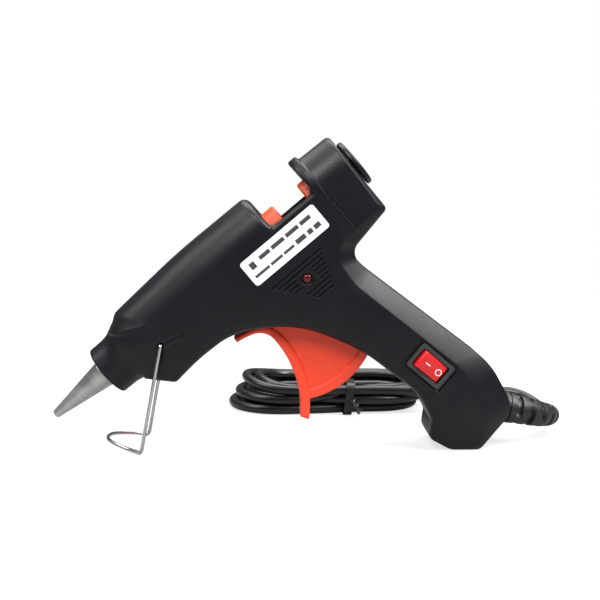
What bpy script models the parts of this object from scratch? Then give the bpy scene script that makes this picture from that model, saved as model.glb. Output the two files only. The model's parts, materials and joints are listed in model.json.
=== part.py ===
# Small hot glue gun on its wire stand. Metres, +Z up. The gun is drawn with its barrel level:
# x runs back along the barrel from the neck's front face, z is up and y is across. One empty then
# tilts it, so that the wire stand and the butt of the handle both rest on z = 0.
import math
import bmesh
import bpy
from mathutils import Matrix, Vector

mm = 0.001
clearance = 0.3 * mm          # between pieces that touch
tilt = math.radians(40.0)     # barrel's slope when the gun stands

# Body
half_width = 13.7 * mm
wall = 2.0 * mm
barrel_top = 16.3 * mm
barrel_belly = 17.6 * mm      # below the barrel's axis
barrel_rear = 81.0 * mm
notch_length = 20.0 * mm
notch_floor = 1.9 * mm
head_length = 17.0 * mm
head_top = 14.1 * mm
butt_rest = 28.3 * mm         # the floor lies this far below the barrel's origin
head_bead = 1.6 * mm          # how far the ring at the head's front stands above the head
parting_gap = 0.15 * mm       # each shell stops this far from the middle plane
neck_radius = 9.9 * mm
neck_length = 14.0 * mm
neck_wall = 1.4 * mm

# Hot end
nozzle_length = 24.8 * mm
nozzle_tip_radius = 1.6 * mm
nozzle_base_radius = 5.3 * mm
nozzle_bore_radius = 0.9 * mm
nozzle_thread_radius = 3.0 * mm
chamber_radius = 5.0 * mm
chamber_keel = 5.3 * mm       # top of the heater's slot, below the axis
chamber_start = 4.0 * mm
chamber_end = 46.0 * mm
sleeve_bore_radius = 3.6 * mm
feed_bore_radius = 3.9 * mm
heater_length = 22.0 * mm
heater_width = 9.0 * mm
heater_thickness = 2.0 * mm
heater_middle = 30.7 * mm
heater_block = (18.4 * mm, 42.6 * mm)
saddle_front = 43.0 * mm
sleeve_radius = 5.2 * mm
sleeve_end = 57.0 * mm
electrode_thickness = 0.4 * mm

# Feed
carriage_radius = 7.4 * mm
carriage_front = 70.0 * mm
carriage_gap = 11.4 * mm
carriage_front_length = 16.3 * mm
carriage_rear_length = 9.0 * mm
spring_turns = 9
spring_length = 13.0 * mm
spring_radius = 1.6 * mm
spring_wire_radius = 0.3 * mm
collar_radius = 9.2 * mm
collar_proud = 2.2 * mm
inlet_bore_radius = 4.2 * mm

# Trigger
pivot = Vector((65.9, 0.0, -27.5)) * mm
pin_radius = 1.5 * mm
trigger_width = 13.0 * mm
rim_radius = 31.8 * mm
rim_thickness = 3.6 * mm
arm_length = 16.5 * mm
arm_lean = math.radians(13.0)
arm_half_width = 4.5 * mm
drive_pin_radius = 1.2 * mm

# Wire stand
wire_radius = 0.75 * mm
stand_pivot = Vector((23.6, 0.0, -4.6)) * mm
stand_reach = 7.5 * mm        # how far forward of its pivot a leg ends
foot_depth = 13.5 * mm
foot_rise = 2.8 * mm          # the foot is square to the legs, so its front is off the ground

# Switch and lamp
switch_length = 15.0 * mm
switch_width = 10.2 * mm
switch_centre = Vector((93.0, 0.0, -73.4)) * mm
switch_lean = math.radians(10.0)
lamp_place = Vector((79.3, 0.0, -20.1)) * mm
lamp_radius = 1.5 * mm
label_length = 34.0 * mm
label_height = 10.3 * mm
label_centre = Vector((80.8, 0.0, -5.7)) * mm

# Fasteners
screw_radius = 1.1 * mm
screw_head_radius = 2.3 * mm
boss_radius = 2.5 * mm

# Cord
cord_radius = 2.0 * mm
boot_base_radius = 6.0 * mm
boot_end_radius = 3.4 * mm
boot_place = Vector((103.3, 0.0, -105.2)) * mm
boot_slope = math.radians(-51.5)
boot_neck_radius = 3.7 * mm
boot_recess = 3.0 * mm        # depth of the boot's seat in the butt

head_front = barrel_rear + notch_length
head_rear = head_front + head_length
floor_z = -butt_rest
screw_seat = half_width - 3.0 * mm
hub_radius = pin_radius + 2.1 * mm
lug_gap = drive_pin_radius + 0.7 * mm   # half the room for the drive pin between its lugs
carriage_front_end = carriage_front + carriage_front_length
carriage_rear_start = carriage_front_end + carriage_gap


def clear_scene():
    for item in list(bpy.data.objects):
        bpy.data.objects.remove(item, do_unlink=True)


def make_collection(name):
    collection = bpy.data.collections.new(name)
    bpy.context.scene.collection.children.link(collection)
    return collection


clear_scene()
parts = make_collection("glue_gun")
cutters = make_collection("cutters")

# The ground empty lifts everything to stand on z = 0, with the gun's length centred on the origin.
ground = bpy.data.objects.new("ground", None)
parts.objects.link(ground)
ground.location = (0.0, 0.0, butt_rest)
gun = bpy.data.objects.new("gun_tilt", None)
parts.objects.link(gun)
gun.parent = ground
gun.rotation_euler = (0.0, -tilt, 0.0)


def material(name, colour, roughness, metallic=0.0):
    found = bpy.data.materials.get(name)
    if found:
        return found
    made = bpy.data.materials.new(name)
    made.use_nodes = True
    shader = made.node_tree.nodes["Principled BSDF"]
    shader.inputs["Base Color"].default_value = (*colour, 1.0)
    shader.inputs["Roughness"].default_value = roughness
    shader.inputs["Metallic"].default_value = metallic
    return made


black = material("body_black", (0.02, 0.02, 0.022), 0.5)
orange = material("trigger_orange", (0.85, 0.09, 0.03), 0.4)
metal = material("bare_metal", (0.55, 0.54, 0.52), 0.35, 1.0)
chrome = material("wire_chrome", (0.75, 0.75, 0.76), 0.15, 1.0)
red = material("switch_red", (0.7, 0.01, 0.02), 0.3)
white = material("label_white", (0.9, 0.9, 0.9), 0.5)
rubber = material("cord_black", (0.015, 0.015, 0.015), 0.45)
silicone = material("silicone", (0.75, 0.75, 0.72), 0.6)
ceramic = material("heater_ceramic", (0.35, 0.3, 0.26), 0.7)
board = material("board_green", (0.04, 0.2, 0.08), 0.5)


def rotate_level(point):
    """A point of the level gun, where it is once the gun is tilted."""
    return Matrix.Rotation(-tilt, 4, "Y") @ point


def add(name, mesh, finish, parent=gun):
    thing = bpy.data.objects.new(name, mesh)
    parts.objects.link(thing)
    if finish:
        mesh.materials.clear()
        mesh.materials.append(finish)
    thing.parent = parent
    return thing


def mesh_from(form, name):
    bmesh.ops.recalc_face_normals(form, faces=form.faces)
    mesh = bpy.data.meshes.new(name)
    form.to_mesh(mesh)
    form.free()
    return mesh


def box_mesh(name, low, high):
    form = bmesh.new()
    bmesh.ops.create_cube(form, size=1.0)
    size = [high[i] - low[i] for i in range(3)]
    centre = [(high[i] + low[i]) / 2 for i in range(3)]
    placing = Matrix.Translation(centre) @ Matrix.Diagonal((*size, 1.0))
    bmesh.ops.transform(form, matrix=placing, verts=form.verts)
    return mesh_from(form, name)


def rod_mesh(name, start, end, radius, end_radius=None, sides=20):
    """A cylinder or cone from one point to another."""
    start = Vector(start)
    end = Vector(end)
    along = end - start
    form = bmesh.new()
    bmesh.ops.create_cone(
        form,
        cap_ends=True,
        segments=sides,
        radius1=radius,
        radius2=radius if end_radius is None else end_radius,
        depth=along.length,
    )
    turn = Vector((0, 0, 1)).rotation_difference(along).to_matrix().to_4x4()
    bmesh.ops.transform(form, matrix=Matrix.Translation((start + end) / 2) @ turn, verts=form.verts)
    return mesh_from(form, name)


def turned_mesh(name, profile, sides=28):
    """A closed ring turned about the x axis. The profile holds (x, radius) corners."""
    form = bmesh.new()
    rings = []
    for k in range(sides):
        angle = 2 * math.pi * k / sides
        rings.append([form.verts.new((x, r * math.cos(angle), r * math.sin(angle))) for x, r in profile])
    count = len(profile)
    for k in range(sides):
        for i in range(count):
            a = rings[k]
            b = rings[(k + 1) % sides]
            form.faces.new((a[i], a[(i + 1) % count], b[(i + 1) % count], b[i]))
    return mesh_from(form, name)


def flat_mesh(name, outline, low_y, high_y):
    """An outline in the xz plane, made as thick as from low_y to high_y."""
    form = bmesh.new()
    face = form.faces.new([form.verts.new((x, low_y, z)) for x, z in outline])
    grown = bmesh.ops.extrude_face_region(form, geom=[face])
    moved = [v for v in grown["geom"] if isinstance(v, bmesh.types.BMVert)]
    bmesh.ops.translate(form, vec=(0, high_y - low_y, 0), verts=moved)
    return mesh_from(form, name)


def apply_boolean(target, tool_mesh, operation):
    tool = bpy.data.objects.new(target.name + "_" + operation.lower(), tool_mesh)
    cutters.objects.link(tool)
    tool.parent = target.parent
    tool.hide_render = True
    tool.display_type = "WIRE"
    change = target.modifiers.new(operation.lower(), "BOOLEAN")
    change.operation = operation
    change.solver = "EXACT"
    change.object = tool
    return tool


def drop_folded_faces(form):
    """Removes pairs of faces that lie back to back on the same corners."""
    bmesh.ops.triangulate(form, faces=[f for f in form.faces if len(f.verts) > 4])
    seen = {}
    for face in form.faces:
        seen.setdefault(frozenset(v.index for v in face.verts), []).append(face)
    folded = [face for group in seen.values() if len(group) > 1 for face in group]
    bmesh.ops.delete(form, geom=folded, context="FACES_ONLY")
    loose = [v for v in form.verts if not v.link_faces]
    bmesh.ops.delete(form, geom=loose, context="VERTS")


def bake(thing):
    """Keeps what the modifiers make and removes their tools."""
    bpy.context.view_layer.update()
    tools = [m.object for m in thing.modifiers if m.type == "BOOLEAN"]
    mesh = bpy.data.meshes.new_from_object(thing.evaluated_get(bpy.context.evaluated_depsgraph_get()))
    thing.modifiers.clear()
    thing.data = mesh
    for tool in tools:
        bpy.data.objects.remove(tool, do_unlink=True)
    form = bmesh.new()
    form.from_mesh(mesh)
    bmesh.ops.remove_doubles(form, verts=form.verts, dist=0.002 * mm)
    bmesh.ops.dissolve_degenerate(form, edges=form.edges, dist=0.001 * mm)
    drop_folded_faces(form)
    form.to_mesh(mesh)
    form.free()


def union(thing, *meshes):
    for mesh in meshes:
        apply_boolean(thing, mesh, "UNION")
        bake(thing)


def cut(thing, *meshes):
    for mesh in meshes:
        apply_boolean(thing, mesh, "DIFFERENCE")
        bake(thing)


def smooth(thing, angle=35.0):
    thing.data.shade_smooth()
    thing.data.set_sharp_from_angle(angle=math.radians(angle))


def arc_steps(radius):
    if radius < 1.0 * mm:
        return 1
    if radius < 8.0 * mm:
        return 2
    return 4


def rounded(corners, radii, steps):
    """A closed outline through arcs, one at each corner, with the arc's number of steps given."""
    points = []
    count = len(corners)
    for i in range(count):
        here = Vector(corners[i])
        back = Vector(corners[i - 1]) - here
        ahead = Vector(corners[(i + 1) % count]) - here
        angle = back.angle(ahead)
        room = 0.48 * min(back.length, ahead.length)
        reach = min(radii[i] / math.tan(angle / 2), room)
        start = here + back.normalized() * reach
        end = here + ahead.normalized() * reach
        for k in range(steps[i] + 1):
            t = k / steps[i]
            weight = math.cos(angle / 2 - math.pi / 2)
            a = (1 - t) ** 2
            b = 2 * t * (1 - t) * weight
            c = t ** 2
            point = (start * a + here * b + end * c) / (a + b + c)
            points.append((point.x, point.y))
    return points


def moved_in(corners, distance):
    """The corners of a clockwise outline, with every side moved in by the same distance."""
    result = []
    count = len(corners)
    for i in range(count):
        here = Vector(corners[i])
        before = (here - Vector(corners[i - 1])).normalized()
        after = (Vector(corners[(i + 1) % count]) - here).normalized()
        side_a = Vector((before.y, -before.x))
        side_b = Vector((after.y, -after.x))
        middle = (side_a + side_b).normalized()
        result.append(tuple(here + middle * distance / max(middle.dot(side_a), 0.35)))
    return result


def at_floor(x):
    """A point of the butt's flat, which is level once the gun is tilted."""
    return (x, (floor_z - x * math.sin(tilt)) / math.cos(tilt))


# Each corner of the body: place and radius where the shells meet, place and radius on the flat
# side, how far from the side the rounding starts, and how straight the rounding is.
def body_corners():
    top = barrel_top
    belly = -barrel_belly
    rear = barrel_rear
    head = head_front
    back = head_rear
    bead = head_top + head_bead
    h = half_width
    return [
        ((10.5 * mm, 10.2 * mm), 1.0, (24.0 * mm, 5.0 * mm), 2.0, h - 4 * mm, 1.0),
        ((16.5 * mm, top - 2.0 * mm), 4.0, (27.0 * mm, top - h + 1.0 * mm), 3.0, h, 1.0),
        ((48.0 * mm, top + 0.7 * mm), 50.0, (48.0 * mm, top - h + 0.8 * mm), 50.0, h, 1.0),
        ((rear, top), 3.0, (rear - 1.4 * mm, top - h), 1.0, h, 1.0),
        ((rear, notch_floor), 2.4, (rear - 0.8 * mm, notch_floor - 1.5 * mm), 1.0, 1.5 * mm, 1.0),
        ((head, notch_floor), 3.0, (head + 1.2 * mm, notch_floor - 1.5 * mm), 1.0, 1.5 * mm, 1.0),
        ((head - 0.6 * mm, bead), 0.8, (head + 0.4 * mm, bead - h), 0.3, h, 1.0),
        ((head + 3.0 * mm, bead), 0.5, (head + 2.6 * mm, bead - h), 0.3, h, 1.0),
        ((head + 3.6 * mm, head_top), 0.5, (head + 3.4 * mm, head_top - h + 0.4 * mm), 0.3, h, 1.0),
        ((back, head_top - 0.4 * mm), 1.5, (back - 1.8 * mm, head_top - h), 1.0, h, 1.0),
        ((back - 0.8 * mm, -19.4 * mm), 1.8, (back - 2.8 * mm, -17.0 * mm), 1.5, 2.2 * mm, 1.0),
        ((96.8 * mm, -23.6 * mm), 8.0, (92.2 * mm, -18.6 * mm), 8.0, 5.0 * mm, 1.6),
        ((97.9 * mm, -33.0 * mm), 25.0, (91.0 * mm, -33.0 * mm), 25.0, 5.0 * mm, 1.6),
        ((110.6 * mm, -88.0 * mm), 30.0, (101.6 * mm, -84.0 * mm), 30.0, 5.0 * mm, 1.6),
        ((106.5 * mm, -107.5 * mm), 9.0, (97.4 * mm, -102.5 * mm), 7.0, 4.5 * mm, 1.5),
        (at_floor(87.2 * mm), 2.5, (88.6 * mm, -105.6 * mm), 2.0, 3.5 * mm, 1.0),
        (at_floor(78.8 * mm), 4.0, (81.8 * mm, -100.2 * mm), 3.5, 3.5 * mm, 1.0),
        ((75.4 * mm, -94.3 * mm), 2.2, (79.2 * mm, -94.6 * mm), 2.0, 3.5 * mm, 1.0),
        ((80.6 * mm, -89.8 * mm), 3.0, (84.4 * mm, -88.2 * mm), 3.0, 3.5 * mm, 1.0),
        ((83.3 * mm, -79.0 * mm), 25.0, (86.9 * mm, -79.0 * mm), 22.0, 4.0 * mm, 1.0),
        ((77.2 * mm, -52.5 * mm), 60.0, (80.8 * mm, -53.4 * mm), 60.0, 4.0 * mm, 1.0),
        ((66.0 * mm, -31.2 * mm), 40.0, (68.9 * mm, -28.6 * mm), 40.0, 4.0 * mm, 1.0),
        ((46.5 * mm, belly - 0.6 * mm), 30.0, (47.6 * mm, belly + 3.2 * mm), 30.0, 4.0 * mm, 1.0),
        ((30.0 * mm, belly), 80.0, (30.5 * mm, belly + 3.6 * mm), 80.0, 4.0 * mm, 1.0),
        ((18.5 * mm, belly - 1.2 * mm), 2.5, (24.5 * mm, belly + 4.2 * mm), 3.0, 4.0 * mm, 1.0),
        ((10.5 * mm, -10.6 * mm), 1.5, (22.0 * mm, -8.0 * mm), 3.0, 5.0 * mm, 1.0),
    ]


def half_body(name, inset, curve_steps=4, start=parting_gap):
    """The half of the body on +y, grown smaller by inset all round, from y = start to its side."""
    corners = body_corners()
    outer = moved_in([c[0] for c in corners], inset)
    inner = moved_in([c[2] for c in corners], inset * 0.5)
    steps = [arc_steps(c[1] * mm) for c in corners]
    outer_line = rounded(outer, [c[1] * mm for c in corners], steps)
    inner_line = rounded(inner, [c[3] * mm for c in corners], steps)
    side = half_width - inset
    rises = []
    bends = []
    for corner, count in zip(corners, steps):
        rises += [min(max(corner[4] - inset, 1.0 * mm), side - 0.6 * mm)] * (count + 1)
        bends += [corner[5]] * (count + 1)
    form = bmesh.new()
    rings = [[form.verts.new((x, start, z)) for x, z in outer_line]]
    for k in range(curve_steps + 1):
        angle = math.pi / 2 * k / curve_steps
        ring = []
        for (ox, oz), (ix, iz), rise, bend in zip(outer_line, inner_line, rises, bends):
            out = math.cos(angle) ** bend
            up = math.sin(angle) ** bend
            place = (ix + (ox - ix) * out, side - rise + rise * up, iz + (oz - iz) * out)
            ring.append(form.verts.new(place))
        rings.append(ring)
    count = len(outer_line)
    for low, high in zip(rings, rings[1:]):
        for i in range(count):
            form.faces.new((low[i], low[(i + 1) % count], high[(i + 1) % count], high[i]))
    form.faces.new(rings[0])
    form.faces.new(rings[-1])
    return mesh_from(form, name)


def screw_places():
    return [
        Vector((26.0, 0.0, -13.3)) * mm,
        Vector((45.4, 0.0, -12.5)) * mm,
        Vector((110.5, 0.0, -13.2)) * mm,
        Vector((93.8, 0.0, -50.5)) * mm,
        Vector((87.5, 0.0, -97.5)) * mm,
    ]


def across(place, y):
    return Vector((place.x, y, place.z))


def spring_start():
    return Vector((carriage_front_end - 6 * mm + clearance + 0.3 * mm, 4.0 * mm, -11.6 * mm))


def boss_meshes():
    inner_side = half_width - wall / 2
    meshes = []
    for i, place in enumerate(screw_places()):
        start = across(place, parting_gap)
        meshes.append(rod_mesh(f"boss_{i}", start, across(place, inner_side), boss_radius, sides=14))
        seat = across(place, screw_seat - 1.4 * mm)
        seat_radius = screw_head_radius + 1.4 * mm
        meshes.append(rod_mesh(f"seat_{i}", seat, across(place, inner_side), seat_radius, sides=16))
    post = spring_start() + Vector((spring_length + 1.6 * mm, 0.0, 0.0))
    meshes.append(rod_mesh("spring_post", across(post, 2.2 * mm), across(post, inner_side), 1.2 * mm, sides=12))
    start = across(pivot, trigger_width / 2 + 0.9 * mm)
    meshes.append(rod_mesh("pin_boss", start, across(pivot, inner_side), pin_radius + 1.8 * mm, sides=16))
    return meshes


def trigger_slot_mesh():
    """The way through the belly for the trigger."""
    half = trigger_width / 2 + 0.5 * mm
    outline = [
        (51.5 * mm, -14.5 * mm),
        (56.0 * mm, -30.0 * mm),
        (60.0 * mm, -48.0 * mm),
        (70.0 * mm, -62.0 * mm),
        (80.2 * mm, -60.5 * mm),
        (82.6 * mm, -56.0 * mm),
        (79.5 * mm, -45.0 * mm),
        (73.0 * mm, -33.0 * mm),
        (66.0 * mm, -22.0 * mm),
    ]
    return flat_mesh("trigger_slot", outline, -half, half)


def switch_frame():
    """The switch's own directions: along, out of the side, and across."""
    return Matrix.Translation(switch_centre) @ Matrix.Rotation(-switch_lean, 4, "Y")


def switch_box(name, length, width, low_y, high_y):
    mesh = box_mesh(name, (-width / 2, low_y, -length / 2), (width / 2, high_y, length / 2))
    mesh.transform(switch_frame())
    return mesh


def boot_direction():
    return Vector((math.cos(boot_slope), 0.0, math.sin(boot_slope)))


def along_boot(distance):
    """A point on the boot's axis, so far out of the butt."""
    return boot_place + boot_direction() * distance


def half_of(mesh):
    """The part of a closed form that lies on +y, clear of the plane where the shells meet."""
    thing = add("half", mesh, None)
    far = 200 * mm
    apply_boolean(thing, box_mesh("keep", (-far, parting_gap, -far), (far, far, far)), "INTERSECT")
    bake(thing)
    made = thing.data
    bpy.data.objects.remove(thing, do_unlink=True)
    return made


def build_shell(name, side):
    """One half of the body. side is -1 for the half with the switch, lamp and label, 1 for the other."""
    shell = add(name, half_body(name, 0.0), black)
    union(shell, half_of(rod_mesh("neck", (0, 0, 0), (neck_length, 0, 0), neck_radius, sides=40)))
    bore = neck_radius - neck_wall
    cut(
        shell,
        half_body("cavity", wall, curve_steps=2, start=-1.0 * mm),
        rod_mesh("neck_bore", (neck_wall, 0, 0), (neck_length + 8 * mm, 0, 0), bore, sides=40),
    )
    web_ends = (along_boot(-boot_recess - 2.1 * mm), along_boot(-boot_recess - 0.1 * mm))
    boot_web = rod_mesh("boot_web", *web_ends, boot_base_radius + 0.8 * mm, sides=24)
    union(shell, half_of(boot_web), *boss_meshes())
    lip = nozzle_base_radius + 0.8 * mm
    boot_floor = along_boot(-boot_recess)
    cut(
        shell,
        rod_mesh("neck_mouth", (-1 * mm, 0, 0), (neck_wall + 1 * mm, 0, 0), lip, sides=32),
        rod_mesh(
            "feed_way",
            (barrel_rear - wall - 2 * mm, 0, 0),
            (head_front + wall + 2 * mm, 0, 0),
            carriage_radius + 0.6 * mm,
            sides=32,
        ),
        rod_mesh("rear_way", (head_rear - 5 * mm, 0, 0), (head_rear + 2 * mm, 0, 0), 7.1 * mm, sides=32),
        trigger_slot_mesh(),
        rod_mesh(
            "pin_hole",
            across(pivot, 0),
            across(pivot, half_width - 1.4 * mm),
            pin_radius + clearance,
            sides=16,
        ),
        rod_mesh(
            "stand_hole",
            across(stand_pivot, half_width - 3 * mm),
            across(stand_pivot, half_width + 1 * mm),
            wire_radius + 0.3 * mm,
            sides=12,
        ),
        rod_mesh("boot_hole", along_boot(-9 * mm), along_boot(0), boot_neck_radius + clearance, sides=20),
        rod_mesh("boot_seat", boot_floor, along_boot(6 * mm), boot_base_radius + clearance, sides=24),
    )
    holes = []
    outside = half_width + 6 * mm
    for i, place in enumerate(screw_places()):
        end = across(place, outside if side > 0 else 8.5 * mm)
        holes.append(rod_mesh(f"hole_{i}", across(place, 0), end, screw_radius + clearance, sides=12))
        if side > 0:
            head_way = screw_head_radius + clearance
            holes.append(rod_mesh(f"seat_{i}", across(place, screw_seat), end, head_way, sides=14))
    if side < 0:
        face = half_width
        holes += [
            switch_box("switch_recess", 17.3 * mm, 11.4 * mm, face - 0.7 * mm, face + 1 * mm),
            switch_box("switch_way", 13.6 * mm, 9.0 * mm, face - 4 * mm, face + 1 * mm),
            rod_mesh(
                "lamp_hole",
                across(lamp_place, face - 4 * mm),
                across(lamp_place, face + 1 * mm),
                lamp_radius + clearance,
                sides=16,
            ),
        ]
    cut(shell, *holes)
    if side < 0:
        shell.data.transform(Matrix.Diagonal((1, -1, 1, 1)))
        shell.data.flip_normals()
    smooth(shell)
    return shell


def build_hot_end():
    tip = -nozzle_length - 0.6 * mm
    profile = [
        (tip, nozzle_bore_radius),
        (tip, nozzle_tip_radius),
        (-0.6 * mm, nozzle_base_radius),
        (2.6 * mm, nozzle_base_radius),
        (2.6 * mm, nozzle_thread_radius),
        (9.0 * mm, nozzle_thread_radius),
        (9.0 * mm, 1.8 * mm),
        (-8.0 * mm, 1.8 * mm),
        (-14.0 * mm, nozzle_bore_radius),
    ]
    smooth(add("nozzle", turned_mesh("nozzle", profile, 32), metal))

    start = chamber_start
    chamber = add(
        "heating_chamber",
        turned_mesh(
            "heating_chamber",
            [
                (start, nozzle_thread_radius + clearance),
                (start, chamber_radius),
                (chamber_end, chamber_radius),
                (chamber_end, feed_bore_radius),
                (10.0 * mm, feed_bore_radius),
                (9.6 * mm, nozzle_thread_radius + clearance),
            ],
            24,
        ),
        metal,
    )
    slot_height = heater_thickness + 2 * electrode_thickness + 4 * clearance
    slot_top = -chamber_keel
    block_low = slot_top - slot_height - 1.0 * mm
    block_start, block_end = heater_block
    block_half = heater_width / 2 + 1.5 * mm
    block = box_mesh("block", (block_start, -block_half, block_low), (block_end, block_half, -4.1 * mm))
    union(chamber, block)
    slot_low = (block_start + 1.0 * mm, -8 * mm, slot_top - slot_height)
    cut(chamber, box_mesh("heater_slot", slot_low, (block_end - 0.6 * mm, 8 * mm, slot_top)))
    smooth(chamber)

    level = slot_top - clearance
    layers = [
        ("upper_electrode", electrode_thickness, chrome, heater_width + 4 * mm),
        ("ptc_heater", heater_thickness, ceramic, heater_width),
        ("lower_electrode", electrode_thickness, chrome, heater_width + 4 * mm),
    ]
    for name, thick, finish, width in layers:
        low = (heater_middle - heater_length / 2, -width / 2, level - thick)
        high = (heater_middle + heater_length / 2, width / 2, level)
        add(name, box_mesh(name, low, high), finish)
        level -= thick + clearance

    insulator_outer = neck_radius - neck_wall - clearance
    profile = [
        (4.0 * mm, chamber_radius + clearance),
        (4.0 * mm, insulator_outer),
        (10.0 * mm, insulator_outer),
        (10.0 * mm, chamber_radius + clearance),
    ]
    add("front_insulator", turned_mesh("front_insulator", profile, 28), silicone)

    saddle_end = chamber_end - 0.2 * mm
    half = half_width - wall - 1.0 * mm
    base = box_mesh("chamber_saddle", (saddle_front, -half, -8.6 * mm), (saddle_end, half, 3.6 * mm))
    saddle = add("chamber_saddle", base, black)
    union(saddle, box_mesh("saddle_top", (saddle_front, -7.0 * mm, 3.0 * mm), (saddle_end, 7.0 * mm, 9.5 * mm)))
    bore_ends = ((saddle_front - 3 * mm, 0, 0), (saddle_end + 3 * mm, 0, 0))
    cut(saddle, rod_mesh("saddle_bore", *bore_ends, chamber_radius + clearance, sides=24))

    profile = [
        (chamber_end + clearance, feed_bore_radius - 0.1 * mm),
        (chamber_end + clearance, sleeve_radius),
        (sleeve_end, sleeve_radius),
        (sleeve_end, sleeve_bore_radius),
    ]
    smooth(add("feed_sleeve", turned_mesh("feed_sleeve", profile, 24), silicone))
    clamp_start = chamber_end + 3.0 * mm
    clamp_end = clamp_start + 3.0 * mm
    profile = ring_profile(clamp_start, clamp_end, sleeve_radius + clearance, sleeve_radius + 1.1 * mm)
    smooth(add("sleeve_clamp", turned_mesh("sleeve_clamp", profile, 24), chrome))


def ring_profile(start, end, inner, outer):
    return [(start, inner), (start, outer), (end, outer), (end, inner)]


def build_feed():
    front_end = carriage_front_end
    rear_start = carriage_rear_start
    rear_end = rear_start + carriage_rear_length
    outer = carriage_radius
    carriage = add(
        "feed_carriage",
        turned_mesh("feed_carriage", ring_profile(carriage_front, front_end, feed_bore_radius, outer), 32),
        orange,
    )
    rails = [
        box_mesh(
            f"rail_{side}",
            (front_end - 3 * mm, min(side * 4.1 * mm, side * 5.3 * mm), -5.7 * mm),
            (rear_start + 3 * mm, max(side * 4.1 * mm, side * 5.3 * mm), -1.5 * mm),
        )
        for side in (-1, 1)
    ]
    union(
        carriage,
        turned_mesh("rear_ring", ring_profile(rear_start, rear_end, inlet_bore_radius, outer), 32),
        *rails,
    )
    # Two lugs under the front collar take the trigger's drive pin between them.
    drive_x = pivot.x + arm_length * math.sin(arm_lean)
    lug_low = pivot.z + arm_length - 1.4 * mm
    lugs = []
    for side in (-1, 1):
        near, far = sorted((drive_x + side * lug_gap, drive_x + side * (lug_gap + 2.2 * mm)))
        lugs.append(box_mesh(f"lug_{side}", (near, -4.0 * mm, lug_low), (far, 4.0 * mm, -4.6 * mm)))
    hook_x = front_end - 6 * mm
    bridge_start = drive_x - lug_gap - 2.2 * mm
    lugs.append(box_mesh("lug_bridge", (bridge_start, -4 * mm, -8.4 * mm), (hook_x, 4 * mm, -5.5 * mm)))
    lugs.append(box_mesh("spring_hook", (hook_x - 2 * mm, 2.2 * mm, -13.4 * mm), (hook_x, 5.8 * mm, -5.0 * mm)))
    union(carriage, *lugs)

    jaw_x = (front_end + rear_start) / 2
    jaw_pivot = Vector((jaw_x, 0.0, -4.3 * mm))
    pin = 0.6 * mm
    hole_ends = (across(jaw_pivot, -7 * mm), across(jaw_pivot, 7 * mm))
    cut(carriage, rod_mesh("jaw_hole", *hole_ends, pin + 0.25 * mm, sides=12))
    smooth(carriage)
    teeth = [(jaw_x + (-3.0 + k) * mm, (-3.8 if k % 2 else -4.3) * mm) for k in range(7)]
    outline = teeth + [(jaw_x + 3.4 * mm, -6.9 * mm), (jaw_x - 2.4 * mm, -6.9 * mm)]
    jaw = add("grip_jaw", flat_mesh("grip_jaw", outline, -3.7 * mm, 3.7 * mm), metal)
    union(jaw, rod_mesh("jaw_pin", across(jaw_pivot, -5.2 * mm), across(jaw_pivot, 5.2 * mm), pin, sides=12))


def build_inlet():
    rear = head_rear
    inner_flange = 8.6 * mm
    profile = [
        (rear - wall - 3.0 * mm, inlet_bore_radius + 0.6 * mm),
        (rear - wall - 3.0 * mm, inner_flange),
        (rear - wall - 0.6 * mm, inner_flange),
        (rear - wall - 0.6 * mm, 6.8 * mm),
        (rear + clearance, 6.8 * mm),
        (rear + clearance, collar_radius),
        (rear + collar_proud - 0.5 * mm, collar_radius),
        (rear + collar_proud, collar_radius - 0.5 * mm),
        (rear + collar_proud, 6.2 * mm),
        (rear + 0.6 * mm, inlet_bore_radius),
        (rear - 2.0 * mm, inlet_bore_radius),
    ]
    smooth(add("inlet_collar", turned_mesh("inlet_collar", profile, 36), black))


def arc(centre, radius, start, end, steps):
    points = []
    for k in range(steps + 1):
        angle = math.radians(start + (end - start) * k / steps)
        points.append((centre.x + radius * math.cos(angle), centre.z + radius * math.sin(angle)))
    return points


def curve_points(points, steps):
    """A smooth open curve through the points given."""
    result = []
    for i in range(len(points) - 1):
        p0 = Vector(points[max(i - 1, 0)])
        p1 = Vector(points[i])
        p2 = Vector(points[i + 1])
        p3 = Vector(points[min(i + 2, len(points) - 1)])
        for k in range(steps):
            t = k / steps
            result.append(
                0.5 * ((2 * p1) + (p2 - p0) * t + (2 * p0 - 5 * p1 + 4 * p2 - p3) * t * t
                       + (3 * p1 - p0 - 3 * p2 + p3) * t ** 3)
            )
    result.append(Vector(points[-1]))
    return result


def finger_line():
    """The front of the finger strip, from its nose at the belly to its lower tip."""
    chosen = [(44.2, -22.3), (48.6, -23.2), (52.6, -24.9), (55.0, -28.2), (55.3, -33.0), (54.5, -39.2),
              (52.2, -46.5), (48.6, -53.2), (44.2, -58.6)]
    return [(p[0] * mm, p[1] * mm) for p in curve_points(chosen, 2)]


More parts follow.
